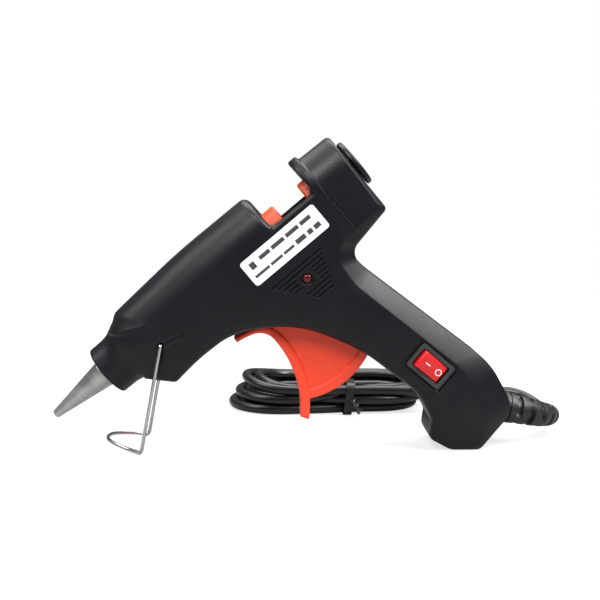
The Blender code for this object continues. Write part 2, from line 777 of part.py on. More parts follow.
def build_trigger():
    half = trigger_width / 2
    front = finger_line()
    strip_back = [(45.9, -61.6), (51.4, -55.6), (54.6, -50.4), (56.9, -44.6), (58.4, -37.8), (58.6, -31.0),
                  (57.0, -25.8), (53.4, -23.0), (49.4, -21.5), (44.4, -20.4)]
    strip = front + [(x * mm, z * mm) for x, z in strip_back]
    trigger = add("trigger", flat_mesh("trigger", strip, -half, half), orange)
    web_half = half - 0.8 * mm
    end_angle = -60.0
    web = [(58.2 * mm, -24.0 * mm), (56.6 * mm, -36.0 * mm), (50.0 * mm, -54.5 * mm)]
    web += arc(pivot, rim_radius - 1.0 * mm, -118.0, end_angle, 8)
    for x, z in ((3.4, 0.0), (2.0, 3.0), (-3.0, 3.0)):
        web.append((pivot.x + x * mm, pivot.z + z * mm))
    rim = arc(pivot, rim_radius, -122.0, end_angle, 10)
    rim += list(reversed(arc(pivot, rim_radius - rim_thickness, -122.0, end_angle, 10)))
    arm_tip = pivot + Vector((math.sin(arm_lean), 0.0, math.cos(arm_lean))) * arm_length
    arm_side = Vector((math.cos(arm_lean), 0.0, -math.sin(arm_lean)))
    arm_end = arm_tip + (arm_tip - pivot).normalized() * 1.0 * mm
    arm = [
        (pivot + arm_side * 3.0 * mm),
        (arm_end + arm_side * 1.2 * mm),
        (arm_end - arm_side * 1.2 * mm),
        (pivot - arm_side * 3.0 * mm),
    ]
    union(
        trigger,
        flat_mesh("web", web, -web_half, web_half),
        flat_mesh("rim", rim, -half, half),
        rod_mesh("hub", across(pivot, -half), across(pivot, half), hub_radius, sides=24),
        flat_mesh("arm", [(p.x, p.z) for p in arm], -arm_half_width, arm_half_width),
        rod_mesh(
            "drive_pin",
            across(arm_tip, -arm_half_width),
            across(arm_tip, arm_half_width),
            drive_pin_radius,
            sides=16,
        ),
    )
    bore_ends = (across(pivot, -half - 1 * mm), across(pivot, half + 1 * mm))
    cut(trigger, rod_mesh("pivot_bore", *bore_ends, pin_radius + clearance, sides=20))
    smooth(trigger)
    length = half_width - 1.4 * mm - clearance
    pin = rod_mesh("trigger_pin", across(pivot, -length), across(pivot, length), pin_radius)
    smooth(add("trigger_pin", pin, chrome))


def tube(name, points, radius, finish, resolution=2, parent=ground):
    """A round tube on a line of world points, with flat ends."""
    curve = bpy.data.curves.new(name, "CURVE")
    curve.dimensions = "3D"
    curve.bevel_depth = radius
    curve.bevel_resolution = resolution
    curve.use_fill_caps = True
    spline = curve.splines.new("POLY")
    spline.points.add(len(points) - 1)
    for spot, point in zip(spline.points, points):
        spot.co = (*point, 1.0)
    guide = bpy.data.objects.new(name + "_line", curve)
    parts.objects.link(guide)
    bpy.context.view_layer.update()
    mesh = bpy.data.meshes.new_from_object(guide.evaluated_get(bpy.context.evaluated_depsgraph_get()))
    bpy.data.objects.remove(guide, do_unlink=True)
    form = bmesh.new()
    form.from_mesh(mesh)
    bmesh.ops.remove_doubles(form, verts=form.verts, dist=0.00001)
    made = add(name, mesh_from(form, name), finish, parent=parent)
    smooth(made, 50.0)
    return made


def build_spring():
    start = spring_start()
    points = []
    for k in range(spring_turns * 8 + 1):
        angle = 2 * math.pi * k / 8
        along = spring_length * k / (spring_turns * 8)
        points.append(start + Vector((along, spring_radius * math.cos(angle), spring_radius * math.sin(angle))))
    tube("return_spring", points, spring_wire_radius, chrome, 1, gun)


def build_stand():
    """The wire bail, drawn in the tilted gun's place: both legs, the folded foot and the pivot ends."""
    top = rotate_level(stand_pivot)
    side = half_width + clearance + wire_radius + 0.1 * mm
    ground = floor_z + wire_radius
    corner_x = top.x - stand_reach
    ends = 2.2 * mm
    line = [
        (top.x, -side + ends, top.z),
        (top.x, -side + 0.2 * mm, top.z),
        (top.x - 0.15 * mm, -side, top.z - 0.9 * mm),
        (corner_x + 0.2 * mm, -side, ground + 1.2 * mm),
        (corner_x - 0.4 * mm, -side + 0.2 * mm, ground - 0.1 * mm),
    ]
    for share, spread in ((0.11, 0.94), (0.4, 0.82), (0.72, 0.58), (0.92, 0.36), (1.0, 0.12)):
        line.append((corner_x - foot_depth * share, -side * spread, ground + foot_rise * share))
    line += [(x, -y, z) for x, y, z in reversed(line)]
    return tube("wire_stand", [Vector(p) for p in line], wire_radius, chrome, 2)


def build_switch():
    face = -half_width
    bezel = switch_box("switch_body", switch_length, switch_width, face - 0.6 * mm, face + 0.4 * mm)
    body = add("switch_body", bezel, black)
    union(body, switch_box("switch_case", 13.0 * mm, 8.4 * mm, face + 0.2 * mm, face + 11.0 * mm))
    cut(body, switch_box("rocker_well", 12.2 * mm, 7.4 * mm, face - 2 * mm, face + 5.5 * mm))
    profile = [
        (-5.6 * mm, face + 1.9 * mm),
        (-5.6 * mm, face - 0.1 * mm),
        (-0.4 * mm, face - 1.0 * mm),
        (5.0 * mm, face - 2.7 * mm),
        (5.6 * mm, face + 0.6 * mm),
        (2.2 * mm, face + 3.4 * mm),
        (-2.2 * mm, face + 3.4 * mm),
    ]
    form = bmesh.new()
    low = [form.verts.new((-3.4 * mm, y, z)) for z, y in profile]
    high = [form.verts.new((3.4 * mm, y, z)) for z, y in profile]
    count = len(profile)
    for i in range(count):
        form.faces.new((low[i], low[(i + 1) % count], high[(i + 1) % count], high[i]))
    form.faces.new(low)
    form.faces.new(high)
    mesh = mesh_from(form, "switch_rocker")
    mesh.transform(switch_frame())
    add("switch_rocker", mesh, red)
    for i, offset in enumerate((-3.6 * mm, 3.6 * mm)):
        mesh = box_mesh(
            f"switch_terminal_{i + 1}",
            (-2.0 * mm, face + 11.0 * mm + clearance, offset - 0.4 * mm),
            (2.0 * mm, face + 17.0 * mm, offset + 0.4 * mm),
        )
        mesh.transform(switch_frame())
        add(f"switch_terminal_{i + 1}", mesh, chrome)


def build_small_parts():
    face = -half_width
    lamp_ends = (across(lamp_place, face + 6 * mm), across(lamp_place, face - 0.3 * mm))
    smooth(add("led_indicator", rod_mesh("led_indicator", *lamp_ends, lamp_radius, sides=16), red))
    place = lamp_place
    add(
        "led_board",
        box_mesh(
            "led_board",
            (place.x - 5 * mm, face + 6 * mm + clearance, place.z - 4 * mm),
            (place.x + 5 * mm, face + 7.3 * mm + clearance, place.z + 4 * mm),
        ),
        board,
    )
    half_l = label_length / 2
    half_h = label_height / 2
    corners = [(-half_l, half_h), (half_l, half_h), (half_l, -half_h), (-half_l, -half_h)]
    line = rounded(corners, [1.2 * mm] * 4, [4] * 4)
    line = [(x + label_centre.x, z + label_centre.z) for x, z in line]
    add("rating_label", flat_mesh("rating_label", line, face - clearance - 0.2 * mm, face - clearance), white)

    for i, spot in enumerate(screw_places()):
        name = f"housing_screw_{i + 1}"
        seat = screw_seat + clearance
        screw = add(
            name,
            rod_mesh(name, across(spot, seat), across(spot, seat + 1.6 * mm), screw_head_radius, sides=16),
            chrome,
        )
        shank_ends = (across(spot, -7.5 * mm), across(spot, seat + 0.5 * mm))
        union(screw, rod_mesh("shank", *shank_ends, screw_radius, sides=12))
        cut(
            screw,
            box_mesh(
                "slot_a",
                (spot.x - 1.5 * mm, seat + 0.9 * mm, spot.z - 0.3 * mm),
                (spot.x + 1.5 * mm, seat + 3 * mm, spot.z + 0.3 * mm),
            ),
            box_mesh(
                "slot_b",
                (spot.x - 0.3 * mm, seat + 0.9 * mm, spot.z - 1.5 * mm),
                (spot.x + 0.3 * mm, seat + 3 * mm, spot.z + 1.5 * mm),
            ),
        )


# Route of the cord on the floor plane, world metres before the gun is centred: out of the boot,
# round and back behind the handle to the hank.
boot_route = [(150.0, 0.0, -14.9), (156.0, 0.4, -16.2), (161.6, 2.4, -17.8), (166.2, 6.8, -19.3),
              (169.0, 12.8, -20.7), (169.8, 20.0, -21.8)]
lead_route = [(169.8, 20.4, -21.9), (169.4, 25.4, -23.0), (167.3, 31.0, -24.3), (163.0, 36.0, -25.5),
              (157.2, 38.4, -26.2), (150.5, 40.2, -26.2), (143.7, 42.0, -26.2), (137.6, 45.2, -26.2),
              (133.3, 50.2, -26.2), (131.3, 56.4, -26.2), (131.1, 62.0, -26.2), (131.3, 66.6, -26.2)]
tail_route = [(119.5, 49.7, -18.4), (125.0, 49.3, -18.6), (131.0, 50.4, -19.4), (138.0, 53.4, -20.8),
              (143.4, 58.8, -21.8), (145.8, 66.0, -21.9), (146.0, 72.0, -21.9)]

hank_centre = Vector((84.0, 70.0)) * mm
hank_length = 90.0 * mm
hank_width = 44.0 * mm
hank_band = 12.0 * mm
hank_height = 12.3 * mm
plug_half_width = 13.0 * mm
plug_length = 32.0 * mm
plug_height = 12.8 * mm
plug_pin_spread = 9.4 * mm
plug_pin_radius = 2.0 * mm
plug_pin_length = 18.5 * mm


def stadium(centre, length, width, steps=8):
    radius = width / 2
    points = []
    for side in (1, -1):
        middle = centre.x + side * (length / 2 - radius)
        for k in range(steps + 1):
            angle = math.pi * (k / steps - 0.5) + (0 if side > 0 else math.pi)
            points.append((middle + radius * math.cos(angle), centre.y + radius * math.sin(angle)))
    return points


def build_cord():
    # Inner flange, the neck through the wall, then the tapered sleeve along its own bend.
    flange_radius = boot_neck_radius + 1.7 * mm
    steps = [
        (-boot_recess - 4.6 * mm, flange_radius),
        (-boot_recess - 2.5 * mm, flange_radius),
        (-boot_recess - 2.5 * mm, boot_neck_radius),
        (-boot_recess + clearance, boot_neck_radius),
        (-boot_recess + clearance, boot_base_radius),
        (1.0 * mm, boot_base_radius),
    ]
    line = [rotate_level(along_boot(distance)) for distance, radius in steps]
    radii = [radius for distance, radius in steps]
    sleeve = curve_points([Vector(p) * mm for p in boot_route], 3)
    line += sleeve
    taper = (boot_end_radius - boot_base_radius) / len(sleeve)
    radii += [boot_base_radius + taper * (k + 1) for k in range(len(sleeve))]
    smooth(tapered_tube("strain_relief", line, radii), 50.0)
    tube("cord_lead", curve_points([Vector(p) * mm for p in lead_route], 2), cord_radius, rubber, 2)
    tube("cord_tail", curve_points([Vector(p) * mm for p in tail_route], 2), cord_radius, rubber, 2)
    form = bmesh.new()
    base = floor_z
    outer = stadium(hank_centre, hank_length, hank_width)
    inner = stadium(hank_centre, hank_length - 2 * hank_band, hank_width - 2 * hank_band)
    count = len(outer)
    lines = []
    for line, z in ((outer, base), (outer, base + hank_height), (inner, base + hank_height), (inner, base)):
        lines.append([form.verts.new((x, y, z)) for x, y in line])
    for k in range(4):
        a = lines[k]
        b = lines[(k + 1) % 4]
        for i in range(count):
            form.faces.new((a[i], a[(i + 1) % count], b[(i + 1) % count], b[i]))
    add("cord_hank", mesh_from(form, "cord_hank"), rubber, parent=ground)

    start = Vector(tail_route[-1]) * mm + Vector((0, 0.4 * mm, 0))
    end_y = start.y + plug_length
    low = floor_z
    body = box_mesh(
        "plug_body",
        (start.x - plug_half_width, start.y, low),
        (start.x + plug_half_width, end_y, low + plug_height),
    )
    add("plug_body", body, rubber, parent=ground)
    for i, side in enumerate((-1, 1)):
        name = f"plug_pin_{i + 1}"
        root = Vector((start.x + side * plug_pin_spread, end_y + clearance, low + plug_height / 2))
        pin = rod_mesh(name, root, root + Vector((0, plug_pin_length, 0)), plug_pin_radius, sides=14)
        smooth(add(name, pin, chrome, parent=ground))


def tapered_tube(name, points, radii, sides=16):
    form = bmesh.new()
    rings = []
    count = len(points)
    for i, (point, radius) in enumerate(zip(points, radii)):
        ahead = points[min(i + 1, count - 1)] - points[max(i - 1, 0)]
        turn = Vector((0, 0, 1)).rotation_difference(ahead).to_matrix()
        ring = []
        for k in range(sides):
            angle = 2 * math.pi * k / sides
            spoke = Vector((radius * math.cos(angle), radius * math.sin(angle), 0))
            ring.append(form.verts.new(point + turn @ spoke))
        rings.append(ring)
    for low, high in zip(rings, rings[1:]):
        for k in range(sides):
            form.faces.new((low[k], low[(k + 1) % sides], high[(k + 1) % sides], high[k]))
    form.faces.new(rings[0])
    form.faces.new(rings[-1])
    return add(name, mesh_from(form, name), rubber, parent=ground)


def centre_on_origin():
    """Moves the gun so that its own box, without the cord, is centred over the origin on z = 0."""
    bpy.context.view_layer.update()
    low = Vector((1.0, 1.0))
    high = -low
    for thing in parts.objects:
        if thing.type == "MESH" and not thing.name.startswith(("cord_", "plug_", "strain_relief")):
            for vertex in thing.data.vertices:
                place = thing.matrix_world @ vertex.co
                low = Vector((min(low.x, place.x), min(low.y, place.y)))
                high = Vector((max(high.x, place.x), max(high.y, place.y)))
    middle = (low + high) / 2
    ground.location -= Vector((middle.x, middle.y, 0.0))


build_shell("right_shell", 1)
build_shell("left_shell", -1)
build_hot_end()
build_feed()
build_inlet()
build_trigger()
build_spring()
build_stand()
build_switch()
build_small_parts()
build_cord()
centre_on_origin()
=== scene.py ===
# Small hot glue gun on its wire stand, drawn in millimetres. The body and what it holds are drawn with
# the barrel level: x runs back along the barrel, y is across, z is up, and gunPlace tilts them. The
# stand, the boot, the cord and the plug are drawn as they stand on the floor, under groundPlace.
import json
import math

import bmesh
import bpy
from mathutils import Matrix, Vector


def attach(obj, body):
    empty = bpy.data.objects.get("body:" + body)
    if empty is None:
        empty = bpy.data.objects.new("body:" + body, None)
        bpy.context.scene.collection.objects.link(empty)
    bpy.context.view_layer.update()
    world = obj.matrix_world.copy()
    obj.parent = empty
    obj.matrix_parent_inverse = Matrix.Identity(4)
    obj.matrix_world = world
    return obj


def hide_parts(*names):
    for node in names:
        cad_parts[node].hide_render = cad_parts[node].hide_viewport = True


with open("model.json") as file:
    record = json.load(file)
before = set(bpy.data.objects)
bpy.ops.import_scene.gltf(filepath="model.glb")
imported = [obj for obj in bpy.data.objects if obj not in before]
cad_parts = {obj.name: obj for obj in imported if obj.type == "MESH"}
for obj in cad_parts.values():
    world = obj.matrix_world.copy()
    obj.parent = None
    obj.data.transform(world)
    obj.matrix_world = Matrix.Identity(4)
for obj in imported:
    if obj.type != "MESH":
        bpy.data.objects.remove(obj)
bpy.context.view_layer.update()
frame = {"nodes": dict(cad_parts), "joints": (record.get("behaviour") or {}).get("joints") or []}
joints = {joint["name"]: joint for joint in frame["joints"]}
mm = 0.001
slideAxis = joints["carriage_slide"]["axis"]
tilt = math.atan2(-slideAxis[2], -slideAxis[0])
tiltTurn = Matrix.Rotation(-tilt, 4, "Y")
standPivot = Vector((23.6, 0.0, -4.6))
gunOrigin = Vector(joints["stand_fold"]["pos_m"]) - tiltTurn @ (standPivot * mm)
groundPlace = Matrix.Translation(gunOrigin)     # for what is drawn as it stands on the floor
gunPlace = groundPlace @ tiltTurn               # for what is drawn with the barrel level
floorLevel = -gunOrigin.z / mm


def newObject(name, data):
    made = bpy.data.objects.new(name, data)
    bpy.context.scene.collection.objects.link(made)
    return made


# Camera
lookout = {"azimuth": -2.0, "elevation": 7.0, "distance": 0.42, "lens": 68.1, "aim": (0.00743, 0.0, 0.05459)}


def makeCamera():
    azimuth = math.radians(lookout["azimuth"])
    elevation = math.radians(lookout["elevation"])
    flat = math.cos(elevation)
    back = Vector((math.sin(azimuth) * flat, -math.cos(azimuth) * flat, math.sin(elevation)))
    lens = bpy.data.cameras.new("lookout")
    lens.lens = lookout["lens"]
    lens.clip_start = 0.01
    lens.clip_end = 20
    eye = newObject("lookout", lens)
    eye.location = Vector(lookout["aim"]) + back * lookout["distance"]
    eye.rotation_mode = "QUATERNION"
    eye.rotation_quaternion = (-back).to_track_quat("-Z", "Y")
    bpy.context.scene.camera = eye


makeCamera()
print("camera made")


# Finishes
class Wire:  # one socket of a material, so that masks are written as sums and products
    def __init__(self, tree, socket=None):
        self.tree = tree
        self.socket = socket

    def node(self, kind, settings=None, inputs=None, output=0):
        made = self.tree.nodes.new("ShaderNode" + kind)
        for key, value in (settings or {}).items():
            setattr(made, key, value)
        for key, value in (inputs or {}).items():
            if isinstance(value, Wire):
                self.tree.links.new(value.socket, made.inputs[key])
            else:
                made.inputs[key].default_value = value
        return Wire(self.tree, made.outputs[output])

    def math(self, operation, first, second=0.0):
        return self.node("Math", {"operation": operation}, {0: first, 1: second})

    def __add__(self, other):
        return self.math("ADD", self, other)

    def __sub__(self, other):
        return self.math("SUBTRACT", self, other)

    def __rsub__(self, other):
        return self.math("SUBTRACT", other, self)

    def __mul__(self, other):
        return self.math("MULTIPLY", self, other)

    def __gt__(self, other):
        return self.math("GREATER_THAN", self, other)

    def __abs__(self):
        return self.math("ABSOLUTE", self)

    __radd__ = __add__
    __rmul__ = __mul__


def newFinish(name, colour, roughness, metallic=0.0, fixed=None):
    made = bpy.data.materials.new(name)
    made.use_nodes = True
    shader = made.node_tree.nodes["Principled BSDF"]
    shader.inputs["Base Color"].default_value = (*colour, 1.0)
    shader.inputs["Roughness"].default_value = roughness
    shader.inputs["Metallic"].default_value = metallic
    for key, value in (fixed or {}).items():
        shader.inputs[key].default_value = value
    return made, shader, Wire(made.node_tree)


def grain(wire, scale, detail=3.0, roughness=0.5, stretch=None):
    place = wire.node("TexCoord", output=3)
    if stretch:
        place = wire.node("VectorMath", {"operation": "MULTIPLY"}, {0: place, 1: stretch})
    inputs = {"Vector": place, "Scale": scale, "Detail": detail, "Roughness": roughness}
    return wire.node("TexNoise", None, inputs)


def spread(wire, value, low, high):
    inputs = {"Value": value, "From Min": 0.32, "From Max": 0.68, "To Min": low, "To Max": high}
    return wire.node("MapRange", None, inputs)


def blendColours(wire, share, first, second):
    return wire.node("Mix", {"data_type": "RGBA"}, {0: share, 6: first, 7: second}, output=2)


def feed(shader, colour, gloss, bump):
    # links what varies over a surface; bump holds the inputs of its node
    normal = colour.node("Bump", None, bump)
    for key, wire in (("Base Color", colour), ("Roughness", gloss), ("Normal", normal)):
        wire.tree.links.new(wire.socket, shader.inputs[key])


def moulded(name, dark, light, roughness, depth=0.3, pitch=2600.0, soften=0.0, fixed=None):
    # mould texture, with slow drifts of tone and gloss over it; soften rounds the sharp edges' shading
    made, shader, wire = newFinish(name, dark, roughness, 0.0, fixed)
    fine = grain(wire, pitch, 2.0)
    slow = grain(wire, 55.0, 4.0, 0.6)
    rub = grain(wire, 420.0, 3.0, 0.65)
    tone = spread(wire, slow * 0.6 + rub * 0.4, 0.0, 1.0)
    gloss = spread(wire, slow * 0.5 + fine * 0.5, roughness - 0.05, roughness + 0.07)
    bump = {"Height": fine, "Strength": depth, "Distance": 0.00006}
    if soften:
        bump["Normal"] = wire.node("Bevel", {"samples": 6}, {"Radius": soften * mm})
    feed(shader, blendColours(wire, tone, (*dark, 1.0), (*light, 1.0)), gloss, bump)
    return made


def turnedMetal(name, dark, light, roughness, rings, depth=0.25):
    # tool rings across the axis, with stains that follow them
    made, shader, wire = newFinish(name, dark, roughness, 1.0)
    along = grain(wire, rings, 3.0, 0.7, (1.0, 0.03, 0.03))
    stain = grain(wire, 180.0, 4.0, 0.6)
    tone = spread(wire, stain * 0.55 + along * 0.45, 0.0, 1.0)
    gloss = spread(wire, along * 0.6 + stain * 0.4, roughness - 0.08, roughness + 0.1)
    bump = {"Height": along, "Strength": depth, "Distance": 0.00005}
    feed(shader, blendColours(wire, tone, (*dark, 1.0), (*light, 1.0)), gloss, bump)
    return made


dull = {"Specular IOR Level": 0.3}
finishes = {
    "body": moulded("bodyPlastic", (0.0024, 0.0022, 0.0042), (0.0046, 0.0044, 0.0072), 0.4, 0.16,
                    soften=0.35, fixed=dull),
    "inner": moulded("innerPlastic", (0.012, 0.012, 0.013), (0.02, 0.02, 0.021), 0.55),
    "trigger": moulded("triggerPlastic", (0.88, 0.05, 0.016), (0.95, 0.068, 0.022), 0.36, 0.12, 1800.0, 0.3),
    "collar": moulded("carriagePlastic", (0.58, 0.06, 0.01), (0.68, 0.09, 0.018), 0.42, 0.15, 1500.0, 0.3),
    "nozzle": turnedMetal("nozzleAluminium", (0.33, 0.325, 0.315), (0.58, 0.57, 0.56), 0.4, 3400.0),
    "cast": turnedMetal("castAluminium", (0.42, 0.42, 0.42), (0.58, 0.58, 0.57), 0.48, 500.0),
    "wire": turnedMetal("standWire", (0.42, 0.42, 0.43), (0.58, 0.58, 0.59), 0.16, 900.0, 0.08),
    "steel": turnedMetal("screwSteel", (0.45, 0.44, 0.43), (0.62, 0.61, 0.6), 0.3, 1600.0, 0.15),
    "pin": turnedMetal("plugPinMetal", (0.62, 0.58, 0.5), (0.76, 0.73, 0.66), 0.24, 1400.0, 0.1),
    "rocker": moulded("rockerPlastic", (0.6, 0.005, 0.008), (0.67, 0.009, 0.012), 0.3, 0.04, 1200.0, 0.2),
    "lamp": moulded("lampLens", (0.07, 0.001, 0.002), (0.12, 0.002, 0.003), 0.2, 0.04, 900.0),
    "mark": moulded("markPaint", (0.82, 0.78, 0.78), (0.9, 0.86, 0.86), 0.45, 0.06, 2000.0),
    "cord": moulded("cordJacket", (0.004, 0.004, 0.005), (0.008, 0.008, 0.009), 0.3, 0.16, 1500.0),
    "boot": moulded("bootRubber", (0.005, 0.005, 0.0065), (0.009, 0.009, 0.0105), 0.46, 0.15, 2200.0, 0.2),
    "silicone": moulded("whiteSilicone", (0.66, 0.66, 0.62), (0.78, 0.78, 0.75), 0.55, 0.2, 1500.0),
    "ceramic": moulded("heaterCeramic", (0.30, 0.26, 0.22), (0.4, 0.35, 0.3), 0.7, 0.5, 1800.0),
    "board": moulded("boardGreen", (0.03, 0.16, 0.06), (0.045, 0.22, 0.085), 0.42, 0.1, 1200.0),
    "tie": moulded("tiePlastic", (0.004, 0.004, 0.005), (0.009, 0.009, 0.01), 0.38, 0.1, 1600.0),
    "frame": moulded("framePlastic", (0.026, 0.026, 0.028), (0.036, 0.036, 0.039), 0.34, 0.1, 1600.0, 0.2),
}
print("finishes made")


# Mesh tools, all in millimetres
def asMesh(form):
    bmesh.ops.recalc_face_normals(form, faces=form.faces)
    mesh = bpy.data.meshes.new("form")
    form.to_mesh(mesh)
    form.free()
    return mesh


def paint(mesh, finish):
    mesh.materials.clear()
    mesh.materials.append(finishes[finish] if isinstance(finish, str) else finish)


def addPiece(name, mesh, finish, stands=(), body="root", place=gunPlace, sharp=35.0):
    mesh.transform(Matrix.Scale(mm, 4))
    paint(mesh, finish)
    mesh.shade_smooth()
    mesh.set_sharp_from_angle(angle=math.radians(sharp))
    piece = newObject(name, mesh)
    piece.matrix_world = place
    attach(piece, body)
    if stands:
        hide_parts(*stands)
    return piece


def circle(count):
    turns = [2 * math.pi * k / count for k in range(count)]
    return [(math.cos(angle), math.sin(angle)) for angle in turns]


def loft(rings, looped=False):
    # a skin over rings in a row, capped at both ends or carried on from the last to the first
    form = bmesh.new()
    rows = [[form.verts.new(point) for point in ring] for ring in rings]
    count = len(rings[0])
    for low, high in zip(rows, rows[1:] + (rows[:1] if looped else [])):
        for i in range(count):
            form.faces.new((low[i], low[(i + 1) % count], high[(i + 1) % count], high[i]))
    if not looped:
        form.faces.new(rows[0])
        form.faces.new(rows[-1])
    return asMesh(form)


def boxMesh(low, high):
    form = bmesh.new()
    bmesh.ops.create_cube(form, size=1.0)
    size = [high[i] - low[i] for i in range(3)]
    centre = [(high[i] + low[i]) / 2 for i in range(3)]
    placing = Matrix.Translation(centre) @ Matrix.Diagonal((*size, 1.0))
    bmesh.ops.transform(form, matrix=placing, verts=form.verts)
    return asMesh(form)


def tubeRings(points, radii, sides=24):
    # circles square to a line, carried along it without twisting
    points = [Vector(point) for point in points]
    rings = []
    heading = (points[1] - points[0]).normalized()
    across = heading.orthogonal().normalized()
    for i, point in enumerate(points):
        ahead = (points[min(i + 1, len(points) - 1)] - points[max(i - 1, 0)]).normalized()
        across = heading.rotation_difference(ahead) @ across
        heading = ahead
        up = heading.cross(across)
        rings.append([point + (across * c + up * s) * radii[i] for c, s in circle(sides)])
    return rings


def rod(start, end, radius, endRadius=None, sides=36):
    return loft(tubeRings([start, end], [radius, radius if endRadius is None else endRadius], sides))


def turned(profile, sides=72):
    # a closed ring about the x axis, from (x, radius) corners
    return loft([[(x, r * c, r * s) for x, r in profile] for c, s in circle(sides)], looped=True)


def movedIn(corners, distance):
    # a clockwise outline with every side moved in by the same distance
    result = []
    count = len(corners)
    for i in range(count):
        here = Vector(corners[i])
        before = (here - Vector(corners[i - 1])).normalized()
        after = (Vector(corners[(i + 1) % count]) - here).normalized()
        sideA = Vector((before.y, -before.x))
        sideB = Vector((after.y, -after.x))
        middle = (sideA + sideB).normalized()
        result.append(tuple(here + middle * distance / max(middle.dot(sideA), 0.35)))
    return result


def rounded(corners, radii, steps):
    # a closed outline with an arc at each corner
    points = []
    count = len(corners)
    for i in range(count):
        here = Vector(corners[i])
        back = Vector(corners[i - 1]) - here
        ahead = Vector(corners[(i + 1) % count]) - here
        angle = back.angle(ahead)
        reach = min(radii[i] / math.tan(angle / 2), 0.48 * min(back.length, ahead.length))
        start = here + back.normalized() * reach
        end = here + ahead.normalized() * reach
        weight = math.sin(angle / 2)
        for k in range(steps[i] + 1):
            t = k / steps[i]
            a = (1 - t) ** 2
            b = 2 * t * (1 - t) * weight
            c = t ** 2
            point = (start * a + here * b + end * c) / (a + b + c)
            points.append((point.x, point.y))
    return points


def plate(outline, lowY, highY, soft=0.0, steps=4):
    # a clockwise (x, z) outline made thick, with its edges rounded by soft
    if not soft:
        return loft([[(x, y, z) for x, z in outline] for y in (lowY, highY)])
    rings = []
    for end, sign in ((lowY, 1), (highY, -1)):
        part = []
        for k in range(steps + 1):
            angle = math.pi / 2 * k / steps
            line = movedIn(outline, soft * (1 - math.sin(angle)))
            part.append([(x, end + sign * soft * (1 - math.cos(angle)), z) for x, z in line])
        rings += part if sign > 0 else part[::-1]
    return loft(rings)


def curvePoints(points, steps):
    result = []
    for i in range(len(points) - 1):
        p0 = Vector(points[max(i - 1, 0)])
        p1 = Vector(points[i])
        p2 = Vector(points[i + 1])
        p3 = Vector(points[min(i + 2, len(points) - 1)])
        for k in range(steps):
            t = k / steps
            square = (2 * p0 - 5 * p1 + 4 * p2 - p3) * t * t
            cube = (3 * p1 - p0 - 3 * p2 + p3) * t ** 3
            result.append(0.5 * (2 * p1 + (p2 - p0) * t + square + cube))
    result.append(Vector(points[-1]))
    return result


def shape(mesh, tools, operation):
    # cuts or joins closed forms one after another, merging the slivers that each leaves
    thing = newObject("shaping", mesh)
    for tool in tools:
        other = newObject("tool", tool)
        change = thing.modifiers.new("change", "BOOLEAN")
        change.operation = operation
        change.solver = "EXACT"
        change.object = other
        bpy.context.view_layer.update()
        seen = thing.evaluated_get(bpy.context.evaluated_depsgraph_get())
        result = bpy.data.meshes.new_from_object(seen)
        thing.modifiers.clear()
        thing.data = result
        bpy.data.objects.remove(other, do_unlink=True)
        form = bmesh.new()
        form.from_mesh(result)
        bmesh.ops.remove_doubles(form, verts=form.verts, dist=0.002)
        bmesh.ops.dissolve_degenerate(form, edges=form.edges, dist=0.001)
        form.to_mesh(result)
        form.free()
    made = thing.data
    bpy.data.objects.remove(thing, do_unlink=True)
    return made


def cut(mesh, *tools):
    return shape(mesh, tools, "DIFFERENCE")


def join(mesh, *tools):
    return shape(mesh, tools, "UNION")


def together(*meshes):
    # several closed forms in one mesh, without cutting them into each other
    form = bmesh.new()
    for mesh in meshes:
        form.from_mesh(mesh)
    return asMesh(form)


def across(place, y):
    return Vector((place[0], y, place[-1]))


# Cord: out of the boot, round behind the handle and into a tied hank that ends at its plug
cord = {
    "diameter": 4.0,
    "length": 1.56,
    "hankCentre": (84.0, 70.0),
    "endCentre": 23.0,        # the right arcs' centre, and the left ones' before they are drawn in
    "turnRadius": 16.0,
    "leadBeside": 8.4,        # where the lead joins, out from the middle turn
    "leftEnd": (4.0, 3.2),    # how far the left ends are drawn in, and how much further each higher row is
    "lift": (0.0, 0.6, 3.0),  # how far each row's left end rises above its row
}
bootRoute = [(150.0, 0.0, -14.9), (156.0, 0.4, -16.2), (161.6, 2.4, -17.8), (166.2, 6.8, -19.3),
             (169.0, 12.8, -20.7), (169.8, 20.0, -21.8)]
leadRoute = [(169.8, 20.4, -21.9), (169.7, 26.0, -21.4), (167.4, 31.4, -19.6), (163.0, 36.0, -17.6),
             (157.2, 38.8, -16.8), (150.5, 40.4, -18.6), (143.7, 42.4, -22.8), (137.6, 45.4, -25.8),
             (133.3, 50.2, -26.2), (131.3, 56.4, -26.2), (131.1, 62.0, -26.2), (131.3, 66.6, -26.2)]
tailRoute = [(119.5, 49.7, -18.4), (125.0, 49.3, -18.6), (131.0, 50.4, -19.4), (138.0, 53.4, -20.8),
             (143.4, 58.8, -21.8), (145.8, 66.0, -21.9), (146.0, 72.0, -21.9)]


